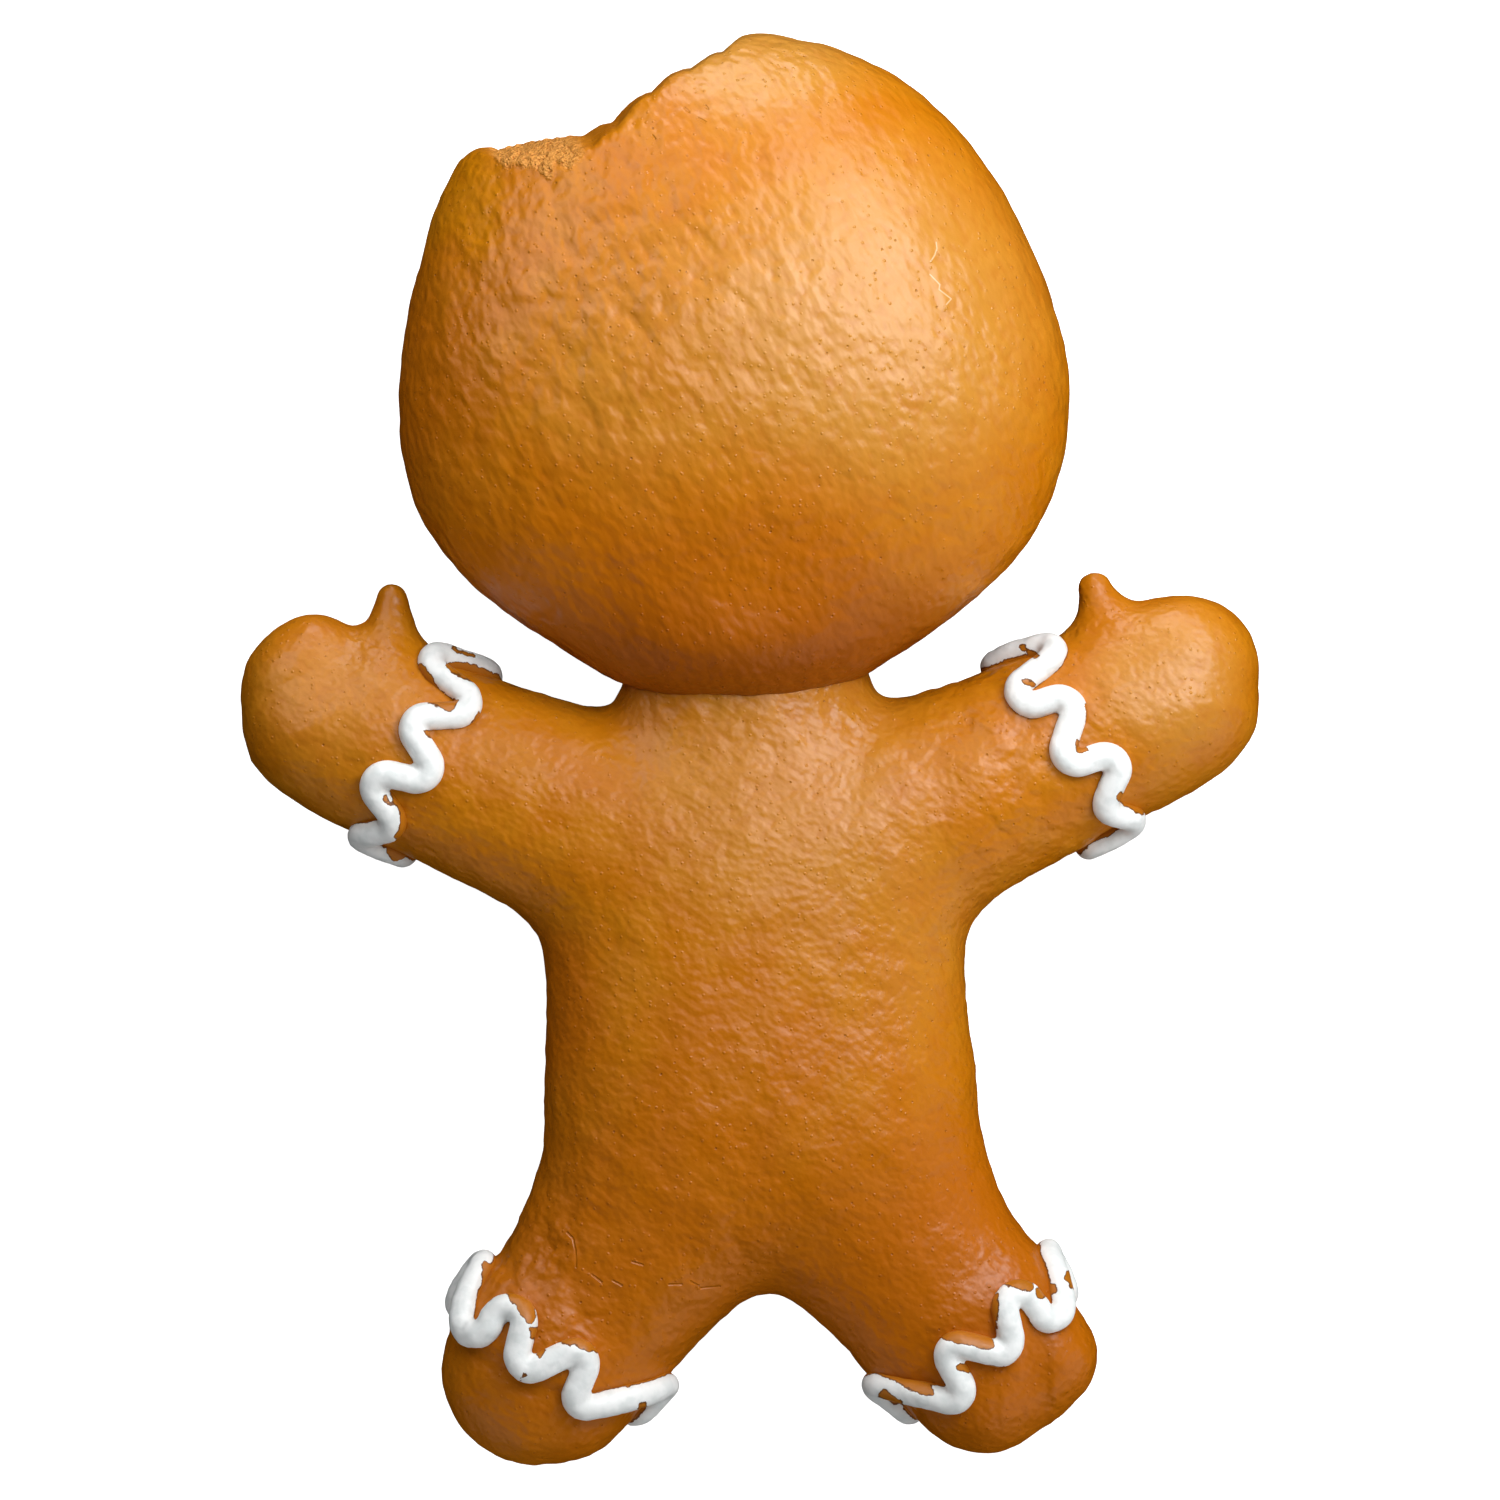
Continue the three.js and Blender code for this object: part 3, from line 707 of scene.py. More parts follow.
def belt_line(spots, lap):
    """Points of a belt that passes the pegs on alternate sides, on the unrolled limb."""
    count = len(spots)
    turns = [math.copysign(1, lap) * (-1 if n % 2 == 0 else 1) for n in range(count)]
    leans = []
    for n, spot in enumerate(spots):
        ahead = spots[(n + 1) % count] - spot
        if n == count - 1:
            ahead.x += lap
        lean = math.acos(min(1, 2 * BEAD_BEND / ahead.length))
        leans.append(Matrix.Rotation(turns[n] * lean, 2) @ ahead.normalized())
    line = []
    for n, spot in enumerate(spots):
        start = angle_of(-leans[n - 1])
        sweep = (angle_of(leans[n]) - start) * -turns[n] % (2 * math.pi)
        steps = max(2, round(sweep / ARC_STEP))
        for s in range(steps + 1):
            angle = start - turns[n] * sweep * s / steps
            line.append(spot + BEAD_BEND * Vector((math.cos(angle), math.sin(angle))))
        leaves = line[-1]
        arrives = spots[(n + 1) % count] - BEAD_BEND * leans[n]
        if n == count - 1:
            arrives = arrives + Vector((lap, 0))
        pieces = max(1, round((arrives - leaves).length / STRAIGHT_STEP))
        line += [leaves.lerp(arrives, p / pieces) for p in range(1, pieces)]
    return np.array(line)


def rolled_up(band, line):
    """The points of the flesh's skin under a line on the unrolled limb."""
    angles = line[:, 0] / band["girth"]
    foot = np.array(band["centre"]) + line[:, 1:] * np.array((*band["along"], 0.0))
    outward = np.outer(np.sin(angles), (*band["across"], 0.0)) + np.outer(np.cos(angles), (0, 0, 1))
    radius = np.zeros(len(line))
    inside = np.ones(len(line), dtype=bool)
    while inside.any():
        radius[inside] += SKIN_SEARCH_STEP
        inside = flesh_field(foot + radius[:, None] * outward) < 0
    return onto_skin(flesh_field, foot + radius[:, None] * outward)


# %% Beads
BEAD_CELLS = 1.45  # mm
BEAD_SIDES = 6  # resolution of the curve's round bevel


def tube_along(name, line, radius):
    """A closed round tube along points in the frame, as an object."""
    path = bpy.data.curves.new(name, "CURVE")
    path.dimensions = "3D"
    path.bevel_depth = radius * MM
    path.bevel_resolution = BEAD_SIDES
    strand = path.splines.new("POLY")
    strand.points.add(len(line) - 1)
    strand.points.foreach_set("co", np.c_[line, np.ones(len(line))].ravel())
    strand.use_cyclic_u = True
    drawn = bpy.data.objects.new(name, path)
    bpy.context.scene.collection.objects.link(drawn)
    graph = bpy.context.evaluated_depsgraph_get()
    made = bpy.data.objects.new(name + "_bead", bpy.data.meshes.new_from_object(drawn.evaluated_get(graph)))
    bpy.context.scene.collection.objects.link(made)
    bpy.data.objects.remove(drawn)
    bpy.data.curves.remove(path)
    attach(made, "root")
    return made


beads = {}
bead_middles = {}
for name, band in BANDS.items():
    skin_line = rolled_up(band, belt_line(*all_pegs(band)))
    bead_middles[name] = skin_line + BEAD_LIFT * outwards(flesh_field, skin_line)
    beads[name] = tube_along(name, to_frame(bead_middles[name]), BEAD_RADIUS)
    melt(beads[name], BEAD_CELLS)
    print(beads[name].name, "has", len(beads[name].data.polygons), "faces")

# %% [markdown]
# ## Where the white ends
#
# The white was brushed on by hand.  Its edge wanders near the foot of the bead, and it misses a
# lip or a slit here and there, mostly on the side that faces the trunk.  So each point of a bead
# gets a number, in millimetres: how far it is inside the white.  Under zero it is brown.  It is the
# lower of two: the height above where the brush ran, and the distance to the nearest missed place.

# %% White and missed
BRUSH_EDGE = 0.6  # how high above the skin the white starts, mm
TRUNK_SIDE_EDGE = 1.9  # and how much higher on the side that faces the trunk

# noises that make the white's edge wander, the missed places ragged and the bead uneven, each as
# layers of lumps: mm apart, mm high, seed
EDGE_WANDER = ((34.0, 1.6, 31.0), (9.0, 0.5, 37.0))
RAGGED_LIPS = ((7.0, 0.8, 41.0),)
UNEVEN_BEAD = ((26.0, 0.45, 51.0), (9.0, 0.16, 53.0))
PAINT_STEP = 0.22  # how much further out the bead is for each mm inside the white
PAINT_STEP_END = 0.5  # up to so many mm on either side of its edge

# Places on the upper side that the brush missed.  A lip is a line on the drawing and half a width,
# a slit is two ends and half a width, in mm.  On a lip everything on to the bead's own foot is
# brown; a slit has white on both sides.
LIPS = {
    "icing_wrist_left": (
        (((-190, 53), (-175, 47), (-158, 42)), 3.2),
        (((-206, 54), (-197, 37), (-187, 29), (-181, 31)), 3.2),
        (((-202, 12), (-189, 9), (-174, 12), (-168, 24)), 1.6),
        (((-223, -26), (-214, -37), (-214, -47), (-221, -57)), 3.2),
        (((-228, -60), (-219, -66), (-209, -72)), 3.6),
    ),
    "icing_wrist_right": (
        (((207, 29), (210, 18), (211, 7)), 1.6), (((202, 6), (209, 0)), 1.4),
        (((227, -29), (237, -33), (246, -40)), 3.0),
    ),
    "icing_ankle_left": (
        (((-167, -320), (-164, -332), (-164, -343)), 2.6), (((-151, -336), (-142, -343), (-135, -355)), 3.4),
        (((-136, -357), (-132, -366), (-130, -376)), 1.8), (((-121, -365), (-106, -366), (-92, -373)), 2.8),
        (((-86, -396), (-71, -391.5), (-57, -387.5)), 3.0),
    ),
    "icing_ankle_right": (
        (((180, -313), (183, -324), (187, -336)), 2.8), (((148, -326), (162, -329), (176, -334)), 3.4),
        (((153, -337), (150, -352), (148, -368)), 3.2), (((114, -362), (132, -364), (151, -369)), 2.8),
        (((71, -381), (92, -390), (114, -400)), 4.2), (((127, -381), (146, -382), (164, -385)), 1.8),
    ),
}
SLITS = {
    "icing_wrist_left": (((-187, 64), (-174, 59.5), 0.9), ((-226, -29), (-223, -34), 1.2)),
    "icing_wrist_right": (((171, 64), (178, 59), 1.8), ((171, 42), (175, 41), 2.2)),
    "icing_ankle_left": (((-141, -388), (-139, -386), 1.6), ((-67, -408), (-69, -415), 2.2)),
    "icing_ankle_right": (
        ((180, -337), (188, -336), 3.4), ((200, -329), (203, -334), 3.4), ((84, -403), (92, -408), 3.2),
    ),
}
LIP_REACH = 3.6  # how far past its own middle line a lip reaches on the open side, mm


def beside(points, line):
    """Where points are along a line on the drawing: distance, side (left is over 0) and progress."""
    corners = np.array(line, dtype=float)
    legs = np.diff(corners, axis=0)
    lengths = np.linalg.norm(legs, axis=1)
    distance = np.full(len(points), np.inf)
    side, progress = np.zeros(len(points)), np.zeros(len(points))
    for corner, leg, length, passed in zip(corners, legs, lengths, np.cumsum(lengths) - lengths):
        share = np.clip((points[:, :2] - corner) @ leg / length**2, 0, 1)
        away = points[:, :2] - corner - share[:, None] * leg
        closer = np.linalg.norm(away, axis=1) < distance
        distance[closer] = np.linalg.norm(away[closer], axis=1)
        side[closer] = (leg[0] * away[closer, 1] - leg[1] * away[closer, 0]) / length
        progress[closer] = (passed + share[closer] * length) / lengths.sum()
    return distance, side, progress


def past_slit(points, start, end, half_width):
    """How far points are outside a slit, mm."""
    return beside(points, (start, end))[0] - half_width


def past_lip(points, line, half_width, middles):
    """How far points are outside a lip: it tapers to its ends and is open away from the bead's middle."""
    away, side, progress = beside(middles, line)
    facing = (away < BEAD_RADIUS + half_width) & (progress > 0) & (progress < 1)
    inner = math.copysign(1, side[facing].mean())
    distance, side, progress = beside(points, line)
    taper = np.sqrt(4 * progress * (1 - progress))
    return distance - taper * np.where(side * inner > 0, half_width, half_width + LIP_REACH)


def layered(points, layers):
    """Several noises on top of each other, mm."""
    return sum(height * waves(points, apart, seed=seed) for apart, height, seed in layers)


def how_white(name, points):
    """How far points of a bead are inside the white, mm."""
    middles = bead_middles[name]
    tree = kdtree.KDTree(len(middles))
    for n, spot in enumerate(middles):
        tree.insert(spot, n)
    tree.balance()
    nearest = np.array([tree.find(spot)[1] for spot in points.tolist()])
    side = (points - middles[nearest])[:, :2] @ np.array(BANDS[name]["along"]) / BEAD_RADIUS
    wander = np.maximum(layered(points, EDGE_WANDER), -BRUSH_EDGE)
    edge = BRUSH_EDGE + TRUNK_SIDE_EDGE * np.clip(-side, 0, 1) + wander
    white = flesh_field(points) - edge
    on_back = points[:, 2] > BANDS[name]["centre"][2]
    missed = [past_lip(points, *lip, middles) for lip in LIPS[name]]
    missed += [past_slit(points, *slit) for slit in SLITS[name]]
    ragged = np.min(missed, axis=0) + layered(points, RAGGED_LIPS)
    return np.where(on_back, np.minimum(white, ragged), white)


for name, made in beads.items():
    points = drawn_points(made)
    white = how_white(name, points)
    paint_step = PAINT_STEP * np.clip(white, -PAINT_STEP_END, PAINT_STEP_END)
    grow = layered(points, UNEVEN_BEAD) + paint_step
    put_points(made, points + grow[:, None] * outwards(flesh_field, points))
    set_attribute(made, "white", white)
    print(made.name, "is", round(100 * float((white > 0).mean())), "% white")

# %% [markdown]
# ## Mixing paint from nodes
#
# A material is a chain of small nodes.  A few helpers keep the chains readable: they add a node
# and fill its inputs, do sums, blend colours, and make noise, spots and lines whose sizes are in
# millimetres.  Everything reads Object coordinates, so the paint stays put on the figure.

# %% Helpers for nodes
def add_node(tree, kind, inputs=None, **settings):
    """Adds a node; an input is a number, a colour or another node's output."""
    made = tree.nodes.new(kind)
    for name, value in settings.items():
        setattr(made, name, value)
    for name, value in (inputs or {}).items():
        if isinstance(value, bpy.types.NodeSocket):
            tree.links.new(value, made.inputs[name])
        else:
            made.inputs[name].default_value = value
    return made


def sums(tree, operation, *values, clamp=False):
    """The output of one Math node."""
    inputs = dict(enumerate(values))
    return add_node(tree, "ShaderNodeMath", inputs, operation=operation, use_clamp=clamp).outputs[0]


def vector_sums(tree, operation, inputs, output="Vector"):
    """The output of one Vector Math node."""
    return add_node(tree, "ShaderNodeVectorMath", inputs, operation=operation).outputs[output]


def lumps(tree, place, apart, detail=1.0):
    """Noise from about 0.2 to 0.8 whose lumps are `apart` mm from each other."""
    inputs = {"Vector": place, "Scale": LUMP_UNITS / (apart * MM), "Detail": detail, "Roughness": 0.5}
    return add_node(tree, "ShaderNodeTexNoise", inputs).outputs["Fac"]


def ramp(tree, value, low, high, kind="SMOOTHSTEP"):
    """0 where the value is at or under low, 1 where it is at or over high."""
    inputs = {"Value": value, "From Min": low, "From Max": high}
    return add_node(tree, "ShaderNodeMapRange", inputs, interpolation_type=kind).outputs["Result"]


def blend_colours(tree, share, first, second):
    mixed = add_node(tree, "ShaderNodeMix", data_type="RGBA")
    for socket, value in ((0, share), (6, first), (7, second)):
        if isinstance(value, bpy.types.NodeSocket):
            tree.links.new(value, mixed.inputs[socket])
        else:
            mixed.inputs[socket].default_value = value
    return mixed.outputs[2]


def attribute(tree, name):
    return add_node(tree, "ShaderNodeAttribute", attribute_name=name).outputs["Fac"]


SPOT_CORE = 0.35  # the share of a spot's reach within which it is whole
MARK_CORE = 0.3  # and of a mark's half-width


def near_spot(tree, place, centre, reach):
    """1 at a spot given on the drawing, falling to 0 at `reach` mm from it."""
    away = vector_sums(tree, "DISTANCE", {0: place, 1: tuple(to_frame(centre))}, "Value")
    return ramp(tree, away, reach * MM, reach * MM * SPOT_CORE)


def near_line(tree, flat, start, end, half_width):
    """1 on a straight mark between two points of the drawing, 0 past its half-width in mm."""
    start, end = to_frame((*start, -DRAWING_SHIFT[2])), to_frame((*end, -DRAWING_SHIFT[2]))
    run = end - start
    arm = vector_sums(tree, "SUBTRACT", {0: flat, 1: tuple(start)})
    dot = vector_sums(tree, "DOT_PRODUCT", {0: arm, 1: tuple(run)}, "Value")
    share = sums(tree, "MULTIPLY", dot, 1 / float(run @ run), clamp=True)
    foot = vector_sums(tree, "SCALE", {0: tuple(run), "Scale": share})
    away = vector_sums(tree, "DISTANCE", {0: arm, 1: foot}, "Value")
    return ramp(tree, away, half_width * MM, half_width * MM * MARK_CORE, "LINEAR")


def marks(tree, place, lines, half_width):
    """The highest of several polylines' marks, as seen from above."""
    flat = vector_sums(tree, "MULTIPLY", {0: place, 1: (1, 1, 0)})
    strongest = None
    for line in lines:
        for start, end in zip(line, line[1:]):
            here = near_line(tree, flat, start, end, half_width)
            strongest = here if strongest is None else sums(tree, "MAXIMUM", strongest, here)
    return strongest


def scattered(tree, place, apart):
    """Spots about `apart` mm from each other: the distance to the nearest, and that one's own number.

    The distance is in units of `apart`.  The number is anything from 0 to 1, different for each spot.
    """
    cells = add_node(tree, "ShaderNodeTexVoronoi", {"Vector": place, "Scale": 1 / (apart * MM)})
    own = add_node(tree, "ShaderNodeSeparateColor", {"Color": cells.outputs["Color"]}).outputs["Red"]
    return cells.outputs["Distance"], own


def dots(tree, away, size, apart, chosen):
    """Dots `size` mm wide, whole in their middle quarter, at the chosen ones of scattered spots."""
    return sums(tree, "MULTIPLY", ramp(tree, away, size / apart / 2, size / apart / 8), chosen)


def new_paint(name):
    """A material, its nodes and the place on the object that its patterns read."""
    paint = bpy.data.materials.new(name)
    paint.use_nodes = True
    tree = paint.node_tree
    return paint, tree, add_node(tree, "ShaderNodeTexCoord").outputs["Object"]


def finish_paint(tree, colour, roughness, height, ior):
    """Wires a colour, a roughness and a height in mm to the material's shader."""
    shader = tree.nodes["Principled BSDF"]
    bump = add_node(tree, "ShaderNodeBump", {"Height": height, "Distance": MM, "Strength": 1.0})
    tree.links.new(colour, shader.inputs["Base Color"])
    tree.links.new(roughness, shader.inputs["Roughness"])
    tree.links.new(bump.outputs["Normal"], shader.inputs["Normal"])
    shader.inputs["IOR"].default_value = ior


# %% [markdown]
# ## Gingerbread paint
#
# A saturated orange brown, satin.  Up close it isn't even.  It is paler where the lights shine most on
# the head, the upper back and the hands, a painted highlight.  It is redder and darker on the legs,
# the left flanks and the lower head, where less light falls, and darker still under the chin: both
# are painted shade.  The hollows between the lumps are redder too, also painted shade, and there
# are nibs, dark pits, hairline scratches and short gouges.  At the bite the crumbs are paler and
# dull, with painted shade in the cracks between them.

# %% Colours of the gingerbread
GINGERBREAD = (0.500, 0.154, 0.001, 1)
PALE_GINGERBREAD = (0.525, 0.176, 0.003, 1)
DEEP_GINGERBREAD = (0.410, 0.100, 0.001, 1)
# paler and a little whiter: a painted highlight on the satin
HIGHLIGHT_GINGERBREAD = (0.507, 0.225, 0.030, 1)
RED_GINGERBREAD = (0.420, 0.085, 0.002, 1)
ORANGE_GINGERBREAD = (0.560, 0.195, 0.001, 1)
SHADED_GINGERBREAD = (0.260, 0.058, 0.0005, 1)
# redder and darker: painted shade where less light falls
RED_SHADE_GINGERBREAD = (0.465, 0.120, 0.0006, 1)
SPECK = (0.18, 0.045, 0.004, 1)
CRUMB_PALE = (0.660, 0.290, 0.050, 1)
CRUMB_CRACK_SHADE = (0.400, 0.120, 0.005, 1)
SCRATCH = (0.80, 0.60, 0.40, 1)

# %% Its patches and marks
# patches, drops, scratches and gouges by their places on the drawing, mm
# The pale patches are painted highlights; the redder, darker ones and those under the chin are painted
# shade.
HEAD_PATCHES = (  # centre, reach, colour, strength
    ((80, 260, 200), 150, HIGHLIGHT_GINGERBREAD, 0.85),
    ((-55, 235, 190), 110, HIGHLIGHT_GINGERBREAD, 0.4),
    ((5, 425, 150), 85, HIGHLIGHT_GINGERBREAD, 0.9),
    ((-215, 225, 110), 120, RED_SHADE_GINGERBREAD, 0.8),
    ((-120, 90, 150), 130, RED_SHADE_GINGERBREAD, 0.7),
    ((10, 70, 160), 140, RED_SHADE_GINGERBREAD, 0.8),
    ((-80, 30, 110), 120, SHADED_GINGERBREAD, 0.75),
    ((-8, 20, 110), 120, SHADED_GINGERBREAD, 0.8),
    ((65, 30, 110), 120, SHADED_GINGERBREAD, 0.8),
    ((-180, 345, 130), 50, ORANGE_GINGERBREAD, 0.8),
    ((-163, 335, 160), 30, ORANGE_GINGERBREAD, 0.9),
    ((-158, 312, 165), 24, ORANGE_GINGERBREAD, 0.8),
    ((-41, 276, 211), 4.0, RED_GINGERBREAD, 0.9),
    ((-26, 276, 211), 4.5, RED_GINGERBREAD, 0.9),
    ((-61, 233, 211), 3.5, RED_GINGERBREAD, 0.8),
)
HEAD_SCRATCHES = (
    ((113, 308), (113.4, 304), (112, 300), (109.5, 296)),
    ((109, 288), (115, 282), (114.5, 279), (122, 273.5), (119, 270)),
)
HEAD_GOUGES = (
    ((-39.5, 389.5), (-37, 387)), ((-31.5, 383), (-27, 380.5)), ((-59, 372), (-57.5, 370)),
    ((-27, 391), (-25.5, 389)),
)
# Painted shade on the legs and the left flank, painted highlights on the upper back and the hands.
BODY_PATCHES = (
    ((-75, -350, 100), 200, RED_SHADE_GINGERBREAD, 0.75),
    ((130, -350, 100), 180, RED_SHADE_GINGERBREAD, 0.95),
    ((-130, -160, 80), 90, RED_SHADE_GINGERBREAD, 0.9),
    ((-10, -200, 150), 90, RED_SHADE_GINGERBREAD, 0.4),
    ((20, -25, 130), 120, HIGHLIGHT_GINGERBREAD, 0.45),
    ((95, -110, 130), 90, HIGHLIGHT_GINGERBREAD, 0.25),
    ((262, 45, 125), 65, HIGHLIGHT_GINGERBREAD, 0.7),
    ((-262, 38, 125), 65, HIGHLIGHT_GINGERBREAD, 0.3),
)
BODY_DROPS = (((-38.2, -304.8, 142), 2.9, 1.7),)  # centre, radius, height
BODY_GOUGES = (
    ((-113.5, -300), (-110, -303.5), (-108.5, -310), (-108, -316), (-108, -321)),
    ((-98, -325.5), (-92, -330)), ((-85, -329), (-79.5, -332)), ((-73, -317), (-66.5, -319)),
    ((-50.5, -331.5), (-42.5, -331.5)), ((-37, -330), (-32, -333)), ((-30.5, -334.5), (-19, -334)),
)

# %% Its relief
# the lumps' width and height in mm, how they are drawn out, and the least roughness of the coat
BODY_COAT = {"lump": 8.0, "stretch": (1.1, 0.95, 1.0), "turn": -0.6, "height": 0.74, "dullness": 0.27}
HEAD_COAT = {"lump": 10.5, "stretch": (1.3, 0.9, 1.0), "turn": -1.05, "height": 1.0, "dullness": 0.24}
FINER_LUMP, FINER_HEIGHT = 0.45, 0.15  # width and height of the finer lumps over the others'
GRIT_APART, GRIT_HEIGHT = 2.2, 0.022  # mm
SPOTS_APART = 4.2  # mm between the spots that may have a nib or a pit
NIB_SIZE, NIB_HEIGHT, NIB_SHARE = 2.3, 0.34, 0.40  # in mm, and the share of the spots that have one
PIT_SIZE, PIT_DEPTH, PIT_SHARE = 2.1, 0.42, 0.035
GOUGE_HALF_WIDTH, GOUGE_DEPTH = 0.9, 0.55  # mm
CLODS_APART, CLODS_HEIGHT = 3.0, 2.6  # of the bite's finest crumbs, mm


def drawn_out(tree, place, coat):
    """The place, turned and squeezed so that the coat's lumps come out longer one way."""
    inputs = {"Vector": place, "Rotation": (0, 0, coat["turn"]), "Scale": coat["stretch"]}
    return add_node(tree, "ShaderNodeMapping", inputs, vector_type="TEXTURE").outputs["Vector"]


def nibs_and_pits(tree, place):
    away, own = scattered(tree, place, SPOTS_APART)
    nibs = dots(tree, away, NIB_SIZE, SPOTS_APART, sums(tree, "LESS_THAN", own, NIB_SHARE))
    pits = dots(tree, away, PIT_SIZE, SPOTS_APART, sums(tree, "GREATER_THAN", own, 1 - PIT_SHARE))
    return nibs, pits


def raise_by(tree, height, share, rise):
    """Adds a share of a rise to a height, both in mm."""
    return sums(tree, "MULTIPLY_ADD", share, rise, height)


def coat_height(tree, place, coat, nibs, pits, clods, drops, gouges):
    """The fine relief of the coat, mm."""
    stretched = drawn_out(tree, place, coat)
    coarse = sums(tree, "MULTIPLY", lumps(tree, stretched, coat["lump"], 0.0), coat["height"])
    finer = lumps(tree, stretched, coat["lump"] * FINER_LUMP, 0.0)
    soft = raise_by(tree, coarse, finer, coat["height"] * FINER_HEIGHT)
    grit = sums(tree, "MULTIPLY", lumps(tree, place, GRIT_APART, 0.0), GRIT_HEIGHT)
    height = raise_by(tree, grit, attribute(tree, "relief"), soft)
    height = raise_by(tree, height, nibs, NIB_HEIGHT)
    height = raise_by(tree, height, pits, -PIT_DEPTH)
    for centre, radius, rise in drops:
        height = raise_by(tree, height, near_spot(tree, place, centre, radius), rise)
    height = raise_by(tree, height, marks(tree, place, gouges, GOUGE_HALF_WIDTH), -GOUGE_DEPTH)
    crumbly = sums(tree, "MULTIPLY", clods, CLODS_HEIGHT)
    return raise_by(tree, height, attribute(tree, "crumbs"), crumbly)


# %% Its colour
PALE_APART, PALE_RAMP = 58.0, (0.36, 0.66)  # soft paler patches: mm apart, and from which noise on
# the hollows between the lumps go darker and redder: painted shade
HOLLOW_SHADE_RAMP, HOLLOW_SHADE_STRENGTH = (0.52, 0.26), 0.22
STAINS_APART, STAINS_RAMP, STAINS_STRENGTH = 33.0, (0.60, 0.74), 0.20
PIT_DARKNESS = 0.45
SCRATCH_HALF_WIDTH, SCRATCH_STRENGTH = 0.55, 0.6  # in mm, and how pale
# the darker crumbs lie in the cracks between the paler ones: painted shade
CLODS_RAMP = (0.46, 0.34)  # at which noise the crumbs are wholly pale and wholly dark
CRUMBS_RAMP, CRUMBS_COLOUR = (0.05, 0.9), 0.75


def coat_colour(tree, place, coat, pits, clods, patches, scratches):
    wide = ramp(tree, lumps(tree, place, PALE_APART), *PALE_RAMP)
    colour = blend_colours(tree, wide, GINGERBREAD, PALE_GINGERBREAD)
    # the patches bring in the painted highlights and the painted shade
    tints = [(near_spot(tree, place, *spot), strength, tint) for *spot, tint, strength in patches]
    # painted shade in the hollows of the lumps
    hollow_shade = ramp(tree, lumps(tree, drawn_out(tree, place, coat), coat["lump"]), *HOLLOW_SHADE_RAMP)
    tints.append((hollow_shade, HOLLOW_SHADE_STRENGTH, DEEP_GINGERBREAD))
    stains = ramp(tree, lumps(tree, place, STAINS_APART, 2.0), *STAINS_RAMP)
    tints.append((stains, STAINS_STRENGTH, DEEP_GINGERBREAD))
    tints.append((pits, PIT_DARKNESS, SPECK))
    if scratches:
        tints.append((marks(tree, place, scratches, SCRATCH_HALF_WIDTH), SCRATCH_STRENGTH, SCRATCH))
    # paler crumbs, with painted shade in the cracks between them
    crumbs_and_crack_shade = blend_colours(tree, ramp(tree, clods, *CLODS_RAMP), CRUMB_PALE, CRUMB_CRACK_SHADE)
    tints.append((ramp(tree, attribute(tree, "crumbs"), *CRUMBS_RAMP), CRUMBS_COLOUR, crumbs_and_crack_shade))
    for share, strength, tint in tints:
        colour = blend_colours(tree, sums(tree, "MULTIPLY", share, strength), colour, tint)
    return colour


# %% Its sheen, and the two castings' paint
DULL_PATCHES_APART, DULL_PATCHES = 45.0, 0.20  # in mm, and by how much their roughness varies
DULL_CRUMBS = 0.25  # how much rougher crumbs are
PAINT_IOR = 1.45


def gingerbread_paint(name, coat, patches, gouges, drops=(), scratches=()):
    """Paint with its lumps, patches and marks where a casting has them."""
    paint, tree, place = new_paint(name)
    nibs, pits = nibs_and_pits(tree, place)
    clods = lumps(tree, place, CLODS_APART)
    dull = sums(tree, "MULTIPLY_ADD", lumps(tree, place, DULL_PATCHES_APART), DULL_PATCHES, coat["dullness"])
    dull = sums(tree, "MULTIPLY_ADD", attribute(tree, "crumbs"), DULL_CRUMBS, dull, clamp=True)
    colour = coat_colour(tree, place, coat, pits, clods, patches, scratches)
    height = coat_height(tree, place, coat, nibs, pits, clods, drops, gouges)
    finish_paint(tree, colour, dull, height, PAINT_IOR)
    return paint


body_paint = gingerbread_paint(
    "gingerbread_body_paint", BODY_COAT, BODY_PATCHES, BODY_GOUGES, drops=BODY_DROPS
)
head_paint = gingerbread_paint(
    "gingerbread_head_paint", HEAD_COAT, HEAD_PATCHES, HEAD_GOUGES, scratches=HEAD_SCRATCHES
)
for made, paint in ((body, body_paint), (head, head_paint)):
    made.data.materials.clear()
    made.data.materials.append(paint)
    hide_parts("gingerbread_figure")
print("paints:", body_paint.name, head_paint.name)

# %% [markdown]
# ## Icing paint
#
# White over brown.  The beads' own number says how far inside the white a point is; noise makes
# the brush's edge ragged, and a thin dark line shows where the white stops.

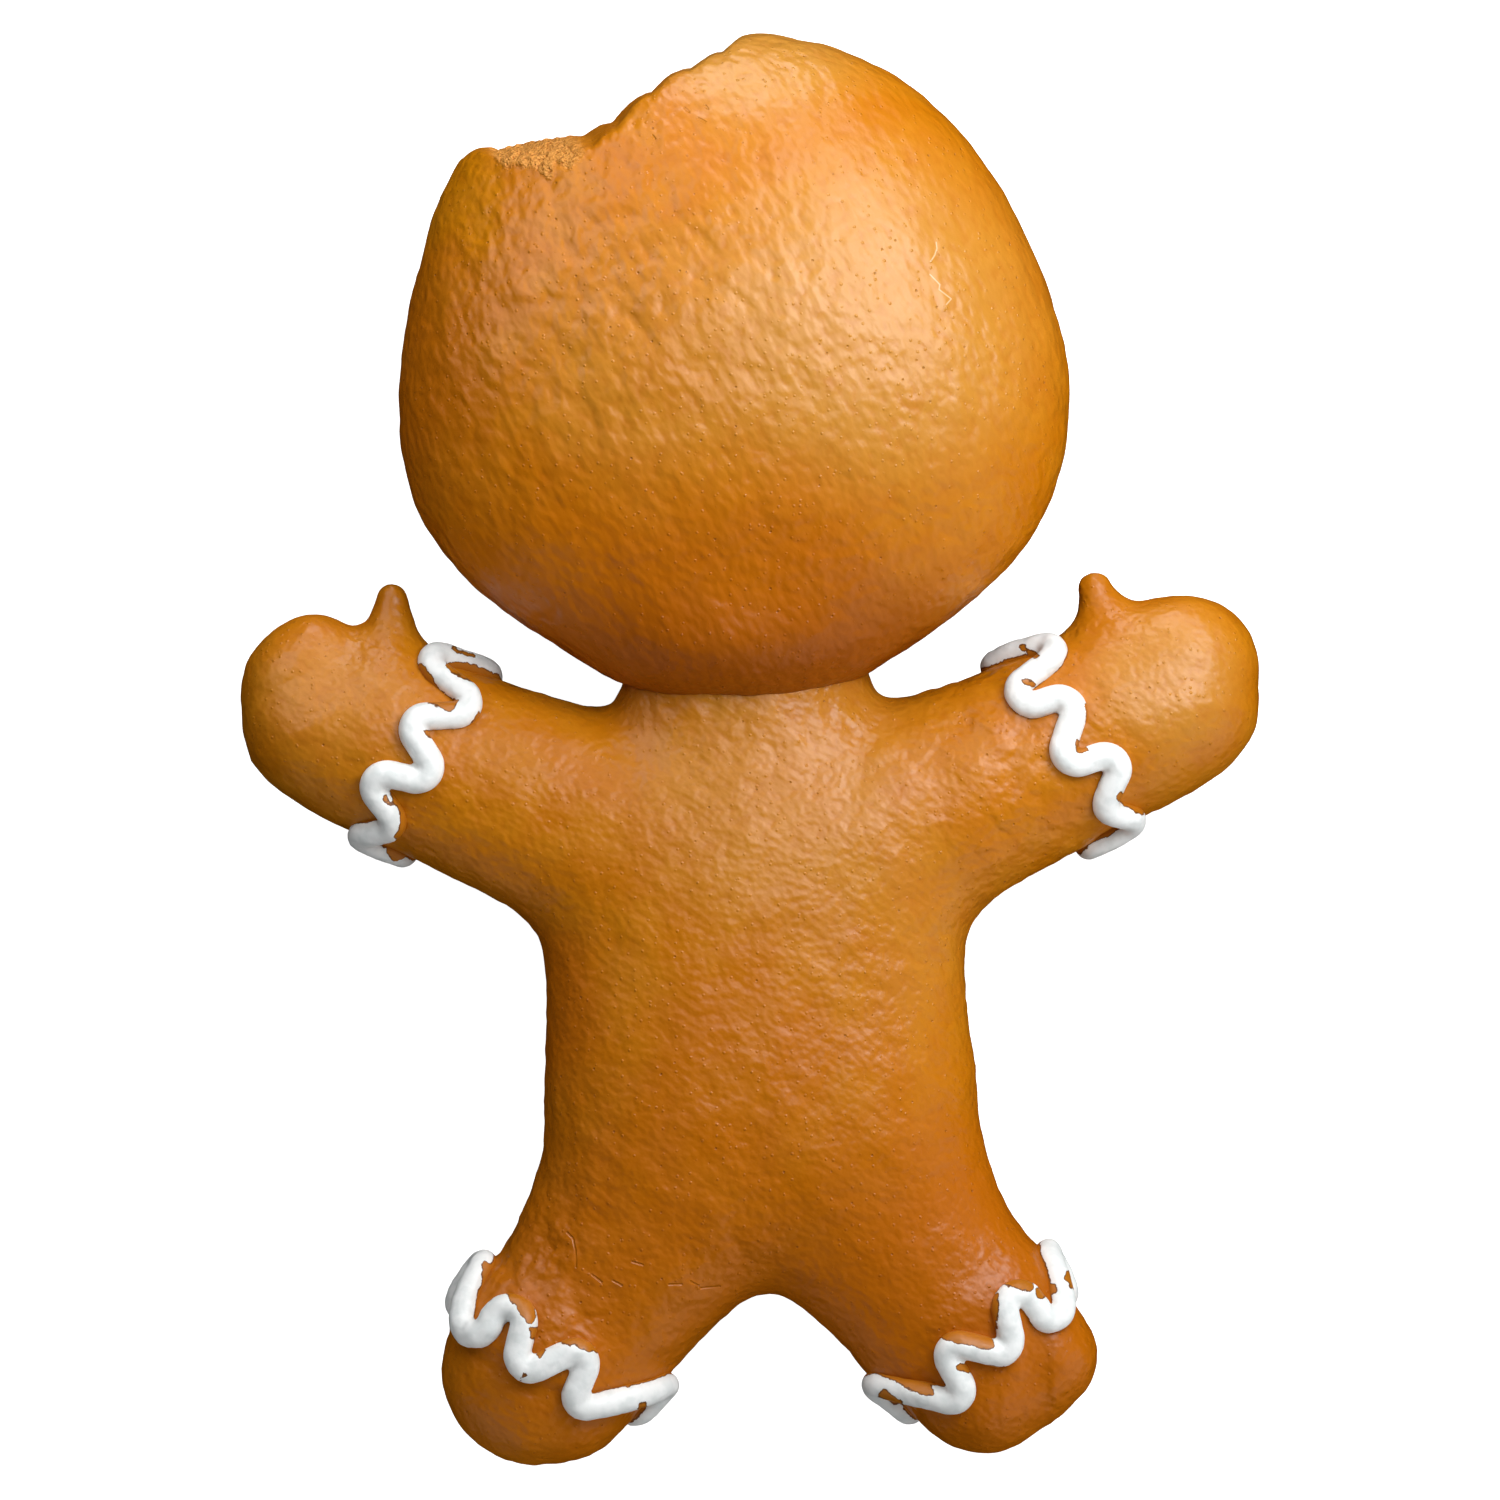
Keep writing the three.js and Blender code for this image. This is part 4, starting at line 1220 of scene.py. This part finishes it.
# %% Icing paint
WHITE = (0.90, 0.925, 0.92, 1)
SHADED_WHITE = (0.78, 0.82, 0.815, 1)
EDGE_LINE = (0.16, 0.052, 0.006, 1)
BARE = (0.455, 0.148, 0.005, 1)
RAGGED_APART, RAGGED_WIDTH = 3.2, 1.5  # how finely and how far the brush's edge frays, mm
# the greyer places in the white are painted shade
DIPS_APART, DIPS_RAMP, DIPS_STRENGTH = 15.0, (0.42, 0.64), 0.8  # greyer places in the white
LINE_STARTS = (0.30, 0.0)  # how far inside the white the dark line starts and is whole, mm
BARE_STARTS = (-0.35, -0.8)  # and where the bare brown does
BRUSH_APART, BRUSH_HEIGHT = 5.0, 0.18  # mm
DUST_APART, DUST_HEIGHT = 1.4, 0.03  # mm
COAT_EDGE, COAT_THICKNESS = (-0.5, 0.5), 0.25  # the white's own thickness, mm
SHEEN_APART, SHEEN_VARIES, SHEEN_LEAST = 12.0, 0.2, 0.32  # in mm, and as roughness
ICING_IOR = 1.5


def icing_paint():
    paint, tree, place = new_paint("icing_paint")
    frayed = lumps(tree, place, RAGGED_APART, 2.0)
    frayed = sums(tree, "MULTIPLY_ADD", frayed, RAGGED_WIDTH, -RAGGED_WIDTH / 2)
    white = sums(tree, "ADD", attribute(tree, "white"), frayed)
    dips = ramp(tree, lumps(tree, place, DIPS_APART, 2.0), *DIPS_RAMP)
    colour = blend_colours(tree, sums(tree, "MULTIPLY", dips, DIPS_STRENGTH), WHITE, SHADED_WHITE)
    colour = blend_colours(tree, ramp(tree, white, *LINE_STARTS), colour, EDGE_LINE)
    colour = blend_colours(tree, ramp(tree, white, *BARE_STARTS), colour, BARE)
    brushed = sums(tree, "MULTIPLY", lumps(tree, place, BRUSH_APART), BRUSH_HEIGHT)
    height = raise_by(tree, brushed, lumps(tree, place, DUST_APART), DUST_HEIGHT)
    height = raise_by(tree, height, ramp(tree, white, *COAT_EDGE), COAT_THICKNESS)
    sheen = sums(tree, "MULTIPLY_ADD", lumps(tree, place, SHEEN_APART), SHEEN_VARIES, SHEEN_LEAST)
    finish_paint(tree, colour, sheen, height, ICING_IOR)
    return paint


white_paint = icing_paint()
for name, made in beads.items():
    made.data.materials.clear()
    made.data.materials.append(white_paint)
    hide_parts(name)
print("white on", len(beads), "beads")
